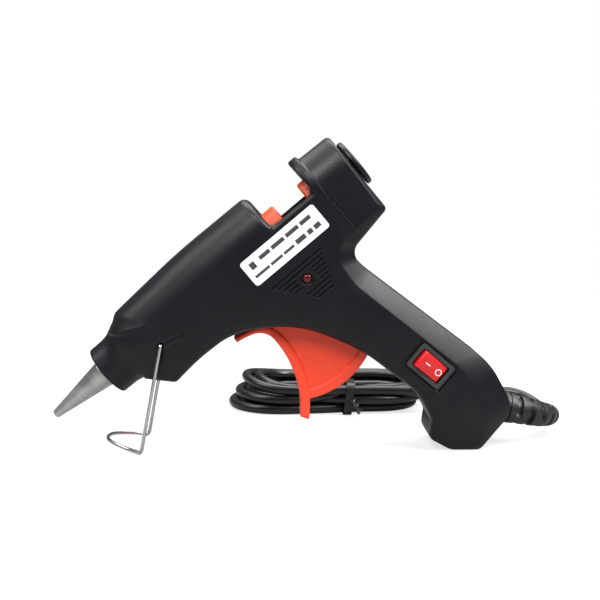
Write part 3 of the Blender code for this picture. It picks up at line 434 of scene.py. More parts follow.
def hankTurns():
    # each turn has its own column and row, and the cord changes to the next one along the front run
    slots = [(1, 0), (0, 0), (-1, 0), (-1, 1), (0, 1), (1, 1), (0, 2), (1, 2)]
    pitch = cord["diameter"]
    midX, midY = cord["hankCentre"]
    reach = cord["endCentre"]
    points = []

    def put(angle, middle, column, row, lift=0.0):
        radius = cord["turnRadius"] + column * pitch
        height = floorLevel + pitch * (row + 0.5) + 0.1 + lift
        points.append((middle + radius * math.cos(angle), midY + radius * math.sin(angle), height))

    for turn, (column, row) in enumerate(slots):
        drawnIn, more = cord["leftEnd"]
        left = midX - reach + drawnIn + more * row + 0.8 * math.sin(2.4 * turn)
        last = turn == len(slots) - 1
        following = (column, row) if last else slots[turn + 1]
        for k in range(5):      # first quarter of the right arc, where the lead comes in
            share = k / 4
            inward = (1 - share) * (cord["leadBeside"] / pitch - column) if turn == 0 else 0.0
            put(math.pi / 2 * share, midX + reach, column + inward, row)
        for k in range(1, 4):   # back run
            put(math.pi / 2, midX + reach + (left - midX - reach) * k / 4, column, row)
        for k in range(9):      # left arc
            lift = cord["lift"][row] * math.sin(math.pi * k / 8) ** 2
            put(math.pi * (0.5 + k / 8), left, column, row, lift)
        for k in range(1, 6):   # front run
            share = k / 6
            ease = share * share * (3 - 2 * share)
            middle = left + (midX + reach - left) * share
            columnHere = column + (following[0] - column) * ease
            put(-math.pi / 2, middle, columnHere, row + (following[1] - row) * ease)
        for k in range(1 if last else 4):
            put(math.pi * (1.5 + k / 8), midX + reach, *following)
    return points


def makeCord():
    line = curvePoints(leadRoute + hankTurns() + tailRoute, 4)
    curve = bpy.data.curves.new("mainsCord", "CURVE")
    curve.dimensions = "3D"
    curve.bevel_depth = cord["diameter"] / 2 * mm
    curve.bevel_resolution = 6
    curve.use_fill_caps = True
    spline = curve.splines.new("POLY")
    spline.points.add(len(line) - 1)
    for spot, point in zip(spline.points, line):
        spot.co = (*(point * mm), 1.0)
    curve.materials.append(finishes["cord"])
    piece = newObject("mainsCord", curve)
    piece.matrix_world = groundPlace
    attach(piece, "root")
    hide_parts("cord_lead", "cord_hank", "cord_tail")
    long = sum((b - a).length for a, b in zip(line, line[1:])) * mm
    print("cord made,", round(long, 3), "m long")
    return piece


tie = {"at": 93.0, "lean": 0.12, "thick": 0.9, "wide": 3.4, "room": 0.5, "tail": 5.5}


def makeTie():
    # a flat band round the front run of the hank, with its two ends twisted together
    bundle = 3 * cord["diameter"]
    midY = cord["hankCentre"][1] - cord["turnRadius"]
    low = floorLevel + 0.1
    half = bundle / 2 + tie["room"]
    corners = [(-half, 0.05), (-half, bundle + tie["room"]), (half, bundle + tie["room"]), (half, 0.05)]
    inner = rounded(corners, [2.4] * 4, [6] * 4)
    outer = movedIn(inner, -tie["thick"])
    rings = []
    start = (tie["at"] + 2.0, midY - half - tie["thick"], low + 6.5)
    for line, side in ((outer, -1), (outer, 1), (inner, 1), (inner, -1)):
        shift = side * tie["wide"] / 2
        rings.append([(tie["at"] + shift + z * tie["lean"], midY + y, max(low + z, low)) for y, z in line])
    band = loft(rings, looped=True)
    ends = []
    for side in (-1, 1):
        twist = []
        for k in range(13):
            share = k / 12
            angle = 2.4 * math.pi * share + (0 if side > 0 else math.pi)
            sway = 0.75 * math.cos(angle)
            rise = 0.75 * math.sin(angle)
            twist.append((
                start[0] + sway + 3.0 * share,
                start[1] - tie["tail"] * share * 0.7,
                start[2] + rise - 4.2 * share,
            ))
        ends.append(loft(tubeRings(twist, [0.6] * len(twist), 10)))
    return addPiece("cordTie", together(band, *ends), "tie", place=groundPlace)


boot = {
    "place": (103.3, 0.0, -105.2), "slope": -51.5, "base": 6.0, "end": 3.4, "recess": 3.0,
    "collar": 2.7, "ribs": 7, "core": 0.7,
}


def alongBoot(distance):
    slope = math.radians(boot["slope"])
    return Vector(boot["place"]) + Vector((math.cos(slope), 0.0, math.sin(slope))) * distance


def makeBoot():
    # a collar seated in the butt, then a sleeve of rings held together by bridges in turn on its sides
    root = [tiltTurn @ alongBoot(distance) for distance in (-2.7, -1.0, 1.0)]
    steps = 8
    line = curvePoints(root + [Vector(point) for point in bootRoute], steps)
    leaves = (len(root) - 1) * steps        # where the sleeve comes out of the butt
    lengths = [0.0]
    for first, second in zip(line, line[1:]):
        lengths.append(lengths[-1] + (second - first).length)
    total = lengths[-1]
    start = boot["collar"] + 4.6
    pitch = (total - start - 1.2) / boot["ribs"]

    def depthAt(place):
        # 1 on a ring and 0 in the gap after it, with a little slope between
        if place < start or place > total - 1.0:
            return 1.0
        share = ((place - start) % pitch) / pitch
        return min(1.0, max(0.0, (abs(share - 0.45) - 0.17) / 0.07))

    fine = []
    for i in range(len(line) - 1):
        for k in range(3):
            place = lengths[i] + (lengths[i + 1] - lengths[i]) * k / 3
            fine.append((line[i].lerp(line[i + 1], k / 3), place))
    fine.append((line[-1], total))
    points = [point for point, place in fine]
    sides = 48
    radii = []
    for point, place in fine:
        share = max(0.0, (place - lengths[leaves]) / (total - lengths[leaves]))
        radii.append(boot["base"] + (boot["end"] - boot["base"]) * share)
    rings = tubeRings(points, radii, sides)
    for ring, (centre, place) in zip(rings, fine):
        gap = int((place - start) // pitch)
        depth = depthAt(place)
        lip = 0.5 if boot["collar"] + 2.4 < place < boot["collar"] + 3.1 else 0.0
        for k in range(sides):
            spoke = ring[k] - centre
            # two bridges, turned by a quarter from one gap to the next
            angle = (k / sides * 4 + (1.0 if gap % 2 else 0.0)) % 2
            bridge = min(1.0, max(0.0, (abs(angle - 1.0) - 0.7) / 0.08))
            grow = boot["core"] + (1 - boot["core"]) * max(depth, bridge)
            ring[k] = centre + spoke * (grow - lip / spoke.length)
    return addPiece("cordBoot", loft(rings), "boot", ["strain_relief"], place=groundPlace, sharp=50.0)


plug = {"long": 32.0, "high": 12.8, "start": (146.0, 72.4), "pins": 9.4, "pinRadius": 2.0, "pinLong": 18.5}


def makePlug():
    # a flat two-pin plug: narrow where the cord goes in, waisted for the fingers, rounded at its face
    startX, startY = plug["start"]
    high = plug["high"]
    rings = []
    stations = [(0.0, 3.2, 0.52), (0.6, 3.9, 0.6), (3.0, 4.4, 0.66), (6.0, 6.2, 0.78), (10.0, 9.6, 0.92),
                (14.0, 11.6, 0.97), (18.0, 11.0, 0.9), (22.0, 11.2, 0.9), (26.0, 12.4, 0.98),
                (29.6, 13.0, 1.0), (31.2, 12.8, 0.97), (32.0, 12.0, 0.9)]
    for along, half, share in curvePoints(stations, 4):
        tall = high * share / 2
        ring = []
        for c, s in circle(48):
            ring.append((
                startX + half * math.copysign(abs(c) ** 0.6, c),
                startY + along,
                floorLevel + high / 2 + tall * math.copysign(abs(s) ** 0.6, s),
            ))
        rings.append(ring)
    body = addPiece("plugBody", loft(rings), "cord", ["plug_body"], place=groundPlace, sharp=40.0)
    pins = []
    for i, side in enumerate((-1, 1)):
        x = startX + side * plug["pins"]
        root = startY + plug["long"]
        z = floorLevel + high / 2
        r = plug["pinRadius"]
        line = [(x, root - 0.6, z), (x, root + plug["pinLong"] - 1.2, z)]
        radii = [r, r]
        for k in range(1, 6):
            angle = math.pi / 2 * k / 5
            line.append((x, root + plug["pinLong"] - 1.2 + 1.4 * math.sin(angle), z))
            radii.append(0.6 + (r - 0.6) * math.cos(angle))
        pin = loft(tubeRings(line, radii, 32))
        pins.append(addPiece(f"plugPin{i + 1}", pin, "pin", [f"plug_pin_{i + 1}"], place=groundPlace))
    return [body, *pins]


mainsCord = makeCord()
cordPieces = [makeTie(), *makePlug()]
cordBoot = makeBoot()
print("boot, plug and tie made")


# Body
body = {
    "half": 13.7, "wall": 2.0, "gap": 0.15, "neckRadius": 9.9, "neckWall": 1.4,
    # the neck's outline from its front, flaring into the barrel
    "neckLine": [(0.0, 9.3), (0.15, 9.6), (0.5, 9.85), (0.9, 9.9), (3.0, 9.9), (5.5, 9.95), (7.6, 10.2),
                 (9.6, 10.8), (11.6, 11.8), (13.6, 12.7), (15.6, 13.25), (18.0, 13.5), (21.0, 13.55),
                 (24.0, 13.2)],
    "notch": (81.0, 101.0), "rear": 118.0, "seam": 0.22,
    "slot": [(51.5, -14.5), (56, -30), (60, -48), (70, -62), (80.2, -60.5), (82.6, -56), (79.5, -45),
             (73, -33), (66, -22)],
    "screws": [(26.0, -13.3), (45.4, -12.5), (110.5, -13.2), (93.8, -50.5), (87.5, -97.5)],
    "screwHole": 1.4, "screwHead": 2.6, "screwSunk": 3.0,
    "standHole": (23.6, -4.6), "standRecess": {"width": 3.2, "deep": 0.5, "end": (31.7, -5.8)},
    "rearLine": [(104.0, 8.0), (104.2, -4.0), (104.4, -17.6)],
}
# the finger grooves' field: its top, its ends there, how far each end comes in by the lowest groove, and
# the room that is kept above and beside the lamp
grooves = {
    "top": -14.9, "pitch": 1.62, "count": 9, "ends": (67.4, 90.2), "narrows": (10.6, 5.4),
    "lampRoom": (3.4, 3.6), "wide": 0.75, "deep": 0.55, "shortest": 2.0,
}
pivot = (65.9, -27.5)
lampPlace = (79.3, -20.1)
switchPlace = Matrix.Translation((93.0, 0.0, -73.4)) @ Matrix.Rotation(math.radians(-10.0), 4, "Y")
label = {"centre": (80.8, -5.7), "size": (34.0, 10.3), "corner": 1.2}


def atFloor(x):
    return (x, (floorLevel - x * math.sin(tilt)) / math.cos(tilt))


def bodyCorners():
    # where each corner meets the other shell and its radius, the same on the flat side, how far from
    # the side the rounding starts, and how straight it is
    h = body["half"]
    low, high = body["notch"]
    rear = body["rear"]
    return [
        ((10.5, 10.2), 1.0, (24.0, 5.0), 2.0, h - 4, 1.0),
        ((16.5, 14.7), 4.0, (27.0, 3.4), 3.0, h, 1.0),
        ((48.0, 16.7), 260.0, (48.0, 3.2), 260.0, h, 1.0),
        ((low, 16.3), 3.0, (low - 1.4, 2.6), 1.0, h, 1.0),
        ((low, 1.9), 2.4, (low - 0.8, 0.4), 1.0, 1.5, 1.0),
        ((high, 1.9), 3.0, (high + 1.2, 0.4), 1.0, 1.5, 1.0),
        ((high - 0.6, 15.7), 0.8, (high + 0.4, 2.0), 0.3, h, 1.0),
        ((high + 3.0, 15.7), 0.5, (high + 2.6, 2.0), 0.3, h, 1.0),
        ((high + 3.6, 14.1), 0.5, (high + 3.4, 0.8), 0.3, h, 1.0),
        ((rear, 13.7), 1.5, (rear - 1.8, 0.4), 1.0, h, 1.0),
        ((rear - 0.8, -19.4), 1.8, (rear - 2.8, -17.0), 1.5, 2.2, 1.0),
        ((96.8, -23.6), 8.0, (92.2, -18.6), 8.0, 5.0, 1.9),
        ((97.9, -33.0), 25.0, (91.0, -33.0), 25.0, 5.0, 1.9),
        ((110.6, -88.0), 30.0, (101.6, -84.0), 30.0, 5.0, 1.9),
        ((106.5, -107.5), 9.0, (97.4, -102.5), 7.0, 4.5, 1.9),
        (atFloor(87.2), 3.5, (88.6, -105.6), 2.0, 3.5, 1.0),
        (atFloor(78.8), 7.0, (81.8, -100.2), 3.5, 3.5, 1.0),
        ((75.4, -94.3), 3.2, (79.2, -94.6), 2.0, 3.5, 1.0),
        ((80.6, -89.8), 3.0, (84.4, -88.2), 3.0, 3.5, 1.0),
        ((83.3, -79.0), 25.0, (86.9, -79.0), 22.0, 4.0, 1.0),
        ((77.2, -52.5), 60.0, (80.8, -53.4), 60.0, 4.0, 1.0),
        ((66.0, -31.2), 40.0, (68.9, -28.6), 40.0, 4.0, 1.0),
        ((46.5, -18.2), 30.0, (47.6, -14.4), 30.0, 4.0, 1.0),
        ((30.0, -17.6), 80.0, (30.5, -14.0), 80.0, 4.0, 1.0),
        ((18.5, -18.8), 2.5, (24.5, -13.4), 3.0, 4.0, 1.0),
        ((10.5, -10.6), 1.5, (22.0, -8.0), 3.0, 5.0, 1.0),
    ]


def halfBody(inset, curveSteps, start, seam=0.0):
    corners = bodyCorners()
    steps = [2 if corner[1] < 1 else 5 if corner[1] < 8 else 9 for corner in corners]
    outer = rounded(movedIn([c[0] for c in corners], inset), [c[1] for c in corners], steps)
    inner = rounded(movedIn([c[2] for c in corners], inset / 2), [c[3] for c in corners], steps)
    side = body["half"] - inset
    shapes = []
    for corner, count in zip(corners, steps):
        shapes += [(min(max(corner[4] - inset, 1.0), side - 0.6), corner[5])] * (count + 1)
    rings = []
    if seam:        # a fine chamfer all round, where the two shells meet
        rings.append([(x, start, z) for x, z in movedIn(outer, seam)])
        rings.append([(x, start + seam, z) for x, z in outer])
    else:
        rings.append([(x, start, z) for x, z in outer])
    for k in range(curveSteps + 1):
        angle = math.pi / 2 * k / curveSteps
        ring = []
        for (ox, oz), (ix, iz), (rise, bend) in zip(outer, inner, shapes):
            out = max(math.cos(angle), 0.0) ** bend
            y = side - rise + rise * math.sin(angle) ** bend
            ring.append((ix + (ox - ix) * out, y, iz + (oz - iz) * out))
        rings.append(ring)
    return loft(rings)


def halfOf(mesh):
    return shape(mesh, [boxMesh((-200, body["gap"], -200), (200, 200, 200))], "INTERSECT")


def halfTurned(profile, sides=80):
    points = curvePoints([(x, 0.0, radius) for x, radius in profile], 3)
    return halfOf(loft(tubeRings([(p.x, 0.0, 0.0) for p in points], [p.z for p in points], sides)))


def switchBox(length, width, lowY, highY, soft=0.6):
    half = (width / 2, length / 2)
    corners = [(-half[0], half[1]), (half[0], half[1]), (half[0], -half[1]), (-half[0], -half[1])]
    mesh = plate(rounded(corners, [soft] * 4, [4] * 4), lowY, highY)
    mesh.transform(switchPlace)
    return mesh


def sideLine(points, width, depth, face):
    # a tool that cuts a fine groove, narrower at its ends, into the side
    line = [Vector((x, face, z)) for x, z in points]
    radii = [width / 2] * len(line)
    for end, step in ((0, 1), (-1, -1)):
        heading = (line[end] - line[end + step]).normalized()
        line.insert(0 if end == 0 else len(line), line[end] + heading * width / 4)
        radii.insert(0 if end == 0 else len(radii), width / 4)
    rings = tubeRings(line, radii, 12)
    deep = depth / (width / 2)
    return loft([[(p.x, face + (p.y - face) * deep, p.z) for p in ring] for ring in rings])


def makeShell(side):
    face = body["half"]
    neck = body["neckRadius"]
    wall = body["neckWall"]
    shell = halfBody(0.0, 14, body["gap"], body["seam"])
    shell = join(shell, halfTurned(body["neckLine"]))
    shell = cut(shell, halfBody(body["wall"], 3, -1.0), rod((wall, 0, 0), (22, 0, 0), neck - wall, sides=48))
    innerSide = face - body["wall"] / 2
    web = halfOf(rod(alongBoot(-5.1), alongBoot(-3.1), boot["base"] + 0.8))
    bosses = []
    for start, radius, sides in ((body["gap"], 2.5, 18), (9.3, 3.7, 20)):
        for place in body["screws"]:
            bosses.append(rod(across(place, start), across(place, innerSide), radius, sides=sides))
    bosses.append(rod(across(pivot, 7.4), across(pivot, innerSide), 3.3, sides=20))
    room = halfBody(1.0, 6, body["gap"])
    shell = join(shell, web, *[shape(boss, [room.copy()], "INTERSECT") for boss in bosses])
    mouth = neck - wall - 2.4
    standX, standZ = body["standHole"]
    # the mouth, the top opening, the inlet, the trigger's slot and pin, the stand's hole, the cord's way
    # and the boot's seat
    shell = cut(
        shell,
        rod((-1, 0, 0), (2.4, 0, 0), mouth, sides=48),
        rod((77, 0, 0), (105, 0, 0), 8.0, sides=56),
        rod((113, 0, 0), (120, 0, 0), 7.1, sides=48),
        plate(body["slot"], -7.0, 7.0),
        rod(across(pivot, 0), across(pivot, face - 1.4), 1.8, sides=20),
        rod((standX, face - 3, standZ), (standX, face + 1, standZ), 1.05, sides=20),
        rod(alongBoot(-9), alongBoot(0), 4.0, sides=32),
        rod(alongBoot(-boot["recess"]), alongBoot(6), boot["base"] + 0.3, sides=48),
    )
    tools = []
    for place in body["screws"]:
        end = across(place, face + 6 if side > 0 else 8.5)
        tools.append(rod(across(place, 0), end, body["screwHole"], sides=18))
        if side > 0:
            tools.append(rod(across(place, face - body["screwSunk"]), end, body["screwHead"], sides=28))
    if side < 0:
        tools.append(switchBox(17.3, 11.4, face - 0.7, face + 1))
        tools.append(switchBox(13.6, 9.0, face - 4, face + 1, 0.3))
        tools.append(rod(across(lampPlace, face - 4), across(lampPlace, face + 1), 1.8, sides=28))
        tools.append(rod(across(lampPlace, face - 0.35), across(lampPlace, face + 1), 2.2, 2.6, sides=32))
    above, beside = grooves["lampRoom"]
    for k in range(grooves["count"]):
        share = k / (grooves["count"] - 1)
        z = grooves["top"] - grooves["pitch"] * k
        start = grooves["ends"][0] + grooves["narrows"][0] * share
        end = grooves["ends"][1] - grooves["narrows"][1] * share
        runs = [(start, end)]
        if side < 0 and abs(z - lampPlace[1]) < above:
            runs = [(start, lampPlace[0] - beside), (lampPlace[0] + beside, end)]
        for first, last in runs:
            if last - first > grooves["shortest"]:
                tools.append(sideLine([(first, z), (last, z)], grooves["wide"], grooves["deep"], face))
    recess = body["standRecess"]
    leg = [(standX, standZ), (standX - 9 * math.sin(tilt) - 1.5, standZ - 9 * math.cos(tilt))]
    tools.append(sideLine([(standX, standZ), recess["end"]], recess["width"], recess["deep"], face))
    tools.append(sideLine(leg, recess["width"] - 0.6, recess["deep"], face))
    shell = cut(shell, *tools)
    shell = cut(shell, sideLine(body["rearLine"], 0.5, 0.3, face))
    if side < 0:
        shell.transform(Matrix.Diagonal((1, -1, 1, 1)))
        shell.flip_normals()
    name = "rightShell" if side > 0 else "leftShell"
    return addPiece(name, shell, "body", ["right_shell" if side > 0 else "left_shell"], sharp=32.0)


for side in (-1, 1):
    makeShell(side)
print("shells made")


nozzle = {
    "profile": [(-25.4, 0.9), (-25.4, 1.25), (-25.1, 1.55), (-24.6, 1.66), (-1.6, 5.12), (-1.3, 5.3),
                (2.6, 5.3), (2.6, 3.0), (9.0, 3.0), (9.0, 1.8), (-8.0, 1.8), (-14.0, 0.9)],
    "collar": [(113, 4.8), (113, 8.6), (115.4, 8.6), (115.4, 6.8), (118.3, 6.8), (118.3, 8.9), (118.5, 9.2),
               (119.7, 9.2), (120.1, 8.9), (120.25, 8.4), (120.0, 7.9), (119.4, 7.2), (119.0, 5.6),
               (118.6, 4.2), (116, 4.2)],
}


def makeTurned():
    addPiece("nozzleCone", turned(nozzle["profile"], 128), "nozzle", ["nozzle"], sharp=28.0)
    addPiece("inletCollar", turned(nozzle["collar"], 112), "body", ["inlet_collar"], sharp=40.0)


makeTurned()
print("nozzle and collar made")


trigger = {
    "half": 6.5, "webHalf": 5.7, "soft": 0.8,
    "front": [(44.2, -22.3), (48.6, -23.2), (52.6, -24.9), (55.0, -28.2), (55.3, -33.0), (54.5, -39.2),
              (52.2, -46.5), (48.6, -53.2), (44.2, -58.6)],
    "back": [(45.9, -61.6), (51.4, -55.6), (54.6, -50.4), (56.9, -44.6), (58.4, -37.8), (58.6, -31.0),
             (57.0, -25.8), (53.4, -23.0), (49.4, -21.5), (44.4, -20.4)],
    "rim": (31.8, 28.2), "rimFrom": -122.0, "rimTo": -60.0, "webArc": 30.8, "webFrom": -118.0,
    "hub": 3.6, "bore": 1.8, "armLean": 13.0, "armHalf": 4.5, "armLong": 17.5, "drivePin": (16.5, 1.2),
}


def arcAbout(radius, start, end, count=28):
    points = []
    for k in range(count + 1):
        angle = math.radians(start + (end - start) * k / count)
        points.append((pivot[0] + radius * math.cos(angle), pivot[1] + radius * math.sin(angle)))
    return points


def clockwise(outline):
    area = sum(a[0] * b[1] - b[0] * a[1] for a, b in zip(outline, outline[1:] + outline[:1]))
    return outline if area < 0 else outline[::-1]


def smoothLine(points, steps=4):
    return [(p.x, p.z) for p in curvePoints([(x, 0.0, z) for x, z in points], steps)]


def makeTrigger():
    half = trigger["half"]
    strip = clockwise(smoothLine(trigger["front"]) + smoothLine(trigger["back"]))
    outer, inner = trigger["rim"]
    start = trigger["rimFrom"]
    end = trigger["rimTo"]
    rim = clockwise(arcAbout(outer, start, end) + arcAbout(inner, end, start))
    near = [(pivot[0] + x, pivot[1] + z) for x, z in ((3.4, 0), (2, 3), (-3, 3))]
    arc = arcAbout(trigger["webArc"], trigger["webFrom"], end)
    web = clockwise([(58.2, -24), (56.6, -36), (50, -54.5)] + arc + near)
    webHalf = trigger["webHalf"]
    mesh = plate(strip, -half, half, trigger["soft"])
    mesh = join(
        mesh,
        plate(rim, -half, half, 0.5),
        plate(web, -webHalf, webHalf),
        rod(across(pivot, -half), across(pivot, half), trigger["hub"], sides=40),
    )
    lean = math.radians(trigger["armLean"])
    up = Vector((math.sin(lean), math.cos(lean)))
    side = Vector((up.y, -up.x))
    base = Vector(pivot)
    tip = base + up * trigger["armLong"]
    arm = [base - side * 3, tip - side * 1.2, tip + side * 1.2, base + side * 3]
    armHalf = trigger["armHalf"]
    mesh = join(mesh, plate(clockwise([tuple(p) for p in arm]), -armHalf, armHalf))
    reach, radius = trigger["drivePin"]
    pin = tuple(base + up * reach)
    mesh = join(mesh, rod(across(pin, -5.6), across(pin, 5.6), radius, sides=20))
    mesh = cut(mesh, rod(across(pivot, -half - 1), across(pivot, half + 1), trigger["bore"], sides=28))
    addPiece("triggerLever", mesh, "trigger", ["trigger"], "trigger_lever", sharp=33.0)


makeTrigger()
print("trigger made")


stand = {
    "wire": 0.66, "side": 14.85, "ground": 0.75, "reach": 7.5, "foot": 13.5, "rise": 2.8,
    "hook": ((0, 2.2, 0), (0, 0.8, 0), (-0.02, 0.2, -0.15), (-0.15, 0, -0.9)),
    "bend": ((0.5, 0, 2.4), (0.1, 0.1, 0.75), (-0.7, 0.4, 0.05)),
    "line": ((0.13, 0.93), (0.4, 0.82), (0.72, 0.58), (0.92, 0.36), (1.0, 0.12)),
}


def makeStand():
    top = tiltTurn @ standPivot
    side = stand["side"]
    ground = floorLevel + stand["ground"]
    corner = top.x - stand["reach"]
    half = [(top.x + x, -side + y, top.z + z) for x, y, z in stand["hook"]]
    for share in (0.25, 0.5, 0.75):
        half.append((top.x + (corner + 0.2 - top.x) * share, -side, top.z + (ground + 1.2 - top.z) * share))
    half += [(corner + x, -side + y, ground + z) for x, y, z in stand["bend"]]
    for share, out in stand["line"]:
        half.append((corner - stand["foot"] * share, -side * out, ground + stand["rise"] * share))
    whole = half + [(x, -y, z) for x, y, z in reversed(half)]
    line = curvePoints(whole, 6)
    radii = [stand["wire"]] * len(line)
    for k, share in enumerate((0.72, 0.92)):
        radii[k] *= share
        radii[-1 - k] *= share
    bail = loft(tubeRings(line, radii, 28))
    addPiece("standWire", bail, "wire", ["wire_stand"], "stand", groundPlace, 50.0)


makeStand()
print("stand made")


feedParts = {
    "outer": 7.4, "inner": 3.9, "front": (70.0, 86.3), "rear": (97.7, 106.7), "pinGap": 1.9,
    "jawAt": (92.0, -4.3), "jawHole": 0.85,
}


def makeCarriage():
    # the orange collar seen in the top opening, its rear ring, the two rails between them and the lugs below
    outer = feedParts["outer"]
    inner = feedParts["inner"]
    rings = []
    for (first, last), bore in ((feedParts["front"], inner), (feedParts["rear"], 4.2)):
        rings.append(turned([
            (first, bore + 0.5), (first, outer - 0.6), (first + 0.6, outer), (last - 0.6, outer),
            (last, outer - 0.6), (last, bore + 0.5), (last - 0.5, bore), (first + 0.5, bore),
        ], 96))
    last = feedParts["front"][1]
    first = feedParts["rear"][0]
    rails = [boxMesh((last - 3, y, -5.7), (first + 3, y + 1.2, -1.5)) for y in (-5.3, 4.1)]
    reach = trigger["drivePin"][0]
    driveX = pivot[0] + reach * math.sin(math.radians(trigger["armLean"]))
    lugLow = pivot[1] + reach - 1.4
    gap = feedParts["pinGap"]
    lugs = [boxMesh((driveX - gap - 2.2, -4, lugLow), (driveX - gap, 4, -4.6))]
    lugs.append(boxMesh((driveX + gap, -4, lugLow), (driveX + gap + 2.2, 4, -4.6)))
    lugs.append(boxMesh((driveX - gap - 2.2, -4, -8.4), (last - 6, 4, -5.5)))
    lugs.append(boxMesh((last - 8, 2.2, -13.4), (last - 6, 5.8, -5.0)))
    mesh = join(rings[0], rings[1], *rails, *lugs)
    jawX, jawZ = feedParts["jawAt"]
    mesh = cut(mesh, rod((jawX, -7, jawZ), (jawX, 7, jawZ), feedParts["jawHole"], sides=20))
    addPiece("feedCollar", mesh, "collar", ["feed_carriage"], "carriage", sharp=33.0)


makeCarriage()
print("carriage made")


switch = {
    "bezel": (15.0, 10.2), "well": (12.2, 7.4), "case": (13.0, 8.4), "half": 3.4,
    "profile": [(-5.6, 1.9), (-5.6, -0.1), (-0.4, -1.0), (5.0, -2.7), (5.6, 0.6), (2.2, 3.4), (-2.2, 3.4)],
    "radii": [0.4, 0.9, 6.0, 0.9, 0.6, 0.6, 0.6],
    "bar": (0.42, 2.2, 1.5), "ring": (1.3, 0.95, -3.6),
}


def rockerFace(z):
    # how far the rocker's face stands from the side, at a place along it
    points = switch["profile"][1:4]
    for (lowZ, lowY), (highZ, highY) in zip(points, points[1:]):
        if z <= highZ or highZ == points[-1][0]:
            return lowY + (highY - lowY) * (z - lowZ) / (highZ - lowZ)


def onRocker(mesh, z, sunk=0.12):
    # lays a form, drawn flat about the origin with its face at y = 0, on the rocker's face
    slope = math.atan2(rockerFace(z + 0.2) - rockerFace(z - 0.2), 0.4)
    place = Matrix.Translation((0.0, -body["half"] + rockerFace(z) + sunk, z))
    mesh.transform(switchPlace @ place @ Matrix.Rotation(-slope, 4, "X"))
    return mesh


def makeSwitch():
    face = -body["half"]
    bezel = switchBox(*switch["bezel"], face - 0.6, face + 0.4, 0.8)
    bezel = join(bezel, switchBox(*switch["case"], face + 0.2, face + 11, 0.5))
    bezel = cut(bezel, switchBox(*switch["well"], face - 2, face + 5.5, 0.5))
    addPiece("switchFrame", bezel, "frame", ["switch_body"])
    corners = {(z, face + y): radius for (z, y), radius in zip(switch["profile"], switch["radii"])}
    outline = clockwise(list(corners))
    line = rounded(outline, [corners[point] for point in outline], [6] * len(outline))
    rocker = plate(line, -switch["half"], switch["half"], 0.35)
    rocker.transform(Matrix(((0, 1, 0, 0), (0, 0, 1, 0), (1, 0, 0, 0), (0, 0, 0, 1))))
    rocker.transform(switchPlace)
    addPiece("switchRocker", rocker, "rocker", ["switch_rocker"], "rocker", sharp=30.0)
    width, long, barAt = switch["bar"]
    bar = boxMesh((-width / 2, -0.14, -long / 2), (width / 2, 0.1, long / 2))
    addPiece("rockerBar", onRocker(bar, barAt), "mark", body="rocker")
    outer, inner, ringAt = switch["ring"]
    ring = turned([(-0.14, inner), (-0.14, outer), (0.1, outer), (0.1, inner)], 48)
    ring.transform(Matrix.Rotation(math.radians(90), 4, "Z"))
    addPiece("rockerRing", onRocker(ring, ringAt), "mark", body="rocker")


makeSwitch()


def makeLampAndLabel():
    face = -body["half"]
    line = [across(lampPlace, y) for y in (-7.7, -13.3, -13.55, -13.75, -13.9, -13.97, -14.0)]
    dome = loft(tubeRings(line, [1.5, 1.5, 1.46, 1.3, 1.02, 0.65, 0.2], 40))
    addPiece("lampLens", dome, "lamp", ["led_indicator"])
    midX, midZ = label["centre"]
    long, high = label["size"]
    corners = [(-long / 2, high / 2), (long / 2, high / 2), (long / 2, -high / 2), (-long / 2, -high / 2)]
    line = rounded([(x + midX, z + midZ) for x, z in corners], [label["corner"]] * 4, [8] * 4)
    addPiece("ratingSticker", plate(line, face - 0.32, face - 0.14), stickerFinish(), ["rating_label"])


# a screw from its tip to its head, as (place, radius), and half the length and width of its cross
screw = {
    "profile": [(-18.8, 0.5), (-17.9, 1.1), (0.3, 1.1), (0.31, 2.3), (0.9, 2.3), (1.25, 2.12), (1.5, 1.6),
                (1.6, 1.0)],
    "cross": (1.4, 0.28), "crossFrom": 0.8, "proud": 0.3,
}


def screwMesh():
    # head toward +y, drawn about the origin at its seat
    arm, thin = screw["cross"]
    low = screw["crossFrom"]
    line = [(0, y, 0) for y, radius in screw["profile"]]
    head = loft(tubeRings(line, [radius for y, radius in screw["profile"]], 40))
    return cut(head, boxMesh((-arm, low, -thin), (arm, 3, thin)), boxMesh((-thin, low, -arm), (thin, 3, arm)))


def makeScrews():
    seat = body["half"] - body["screwSunk"] + screw["proud"]
    for i, (x, z) in enumerate(body["screws"]):
        mesh = screwMesh()
        mesh.transform(Matrix.Translation((x, seat, z)) @ Matrix.Rotation(0.4 + 1.1 * i, 4, "Y"))
        addPiece(f"housingScrew{i + 1}", mesh, "steel", [f"housing_screw_{i + 1}"])


# the sticker's print: rows of plain bars, each with its level, height, starts and ends
sticker = [
    (-3.5, 1.5, ((71.0, 75.6), (76.6, 82.2), (83.2, 88.8), (89.8, 94.4))),
    (-7.9, 1.0, ((65.6, 72.0), (72.8, 78.0), (78.8, 83.4))),
    (-7.7, 1.8, ((84.6, 88.8), (90.0, 92.0), (93.0, 95.6))),
    (-4.0, 2.6, ((66.4, 68.6),)),
]


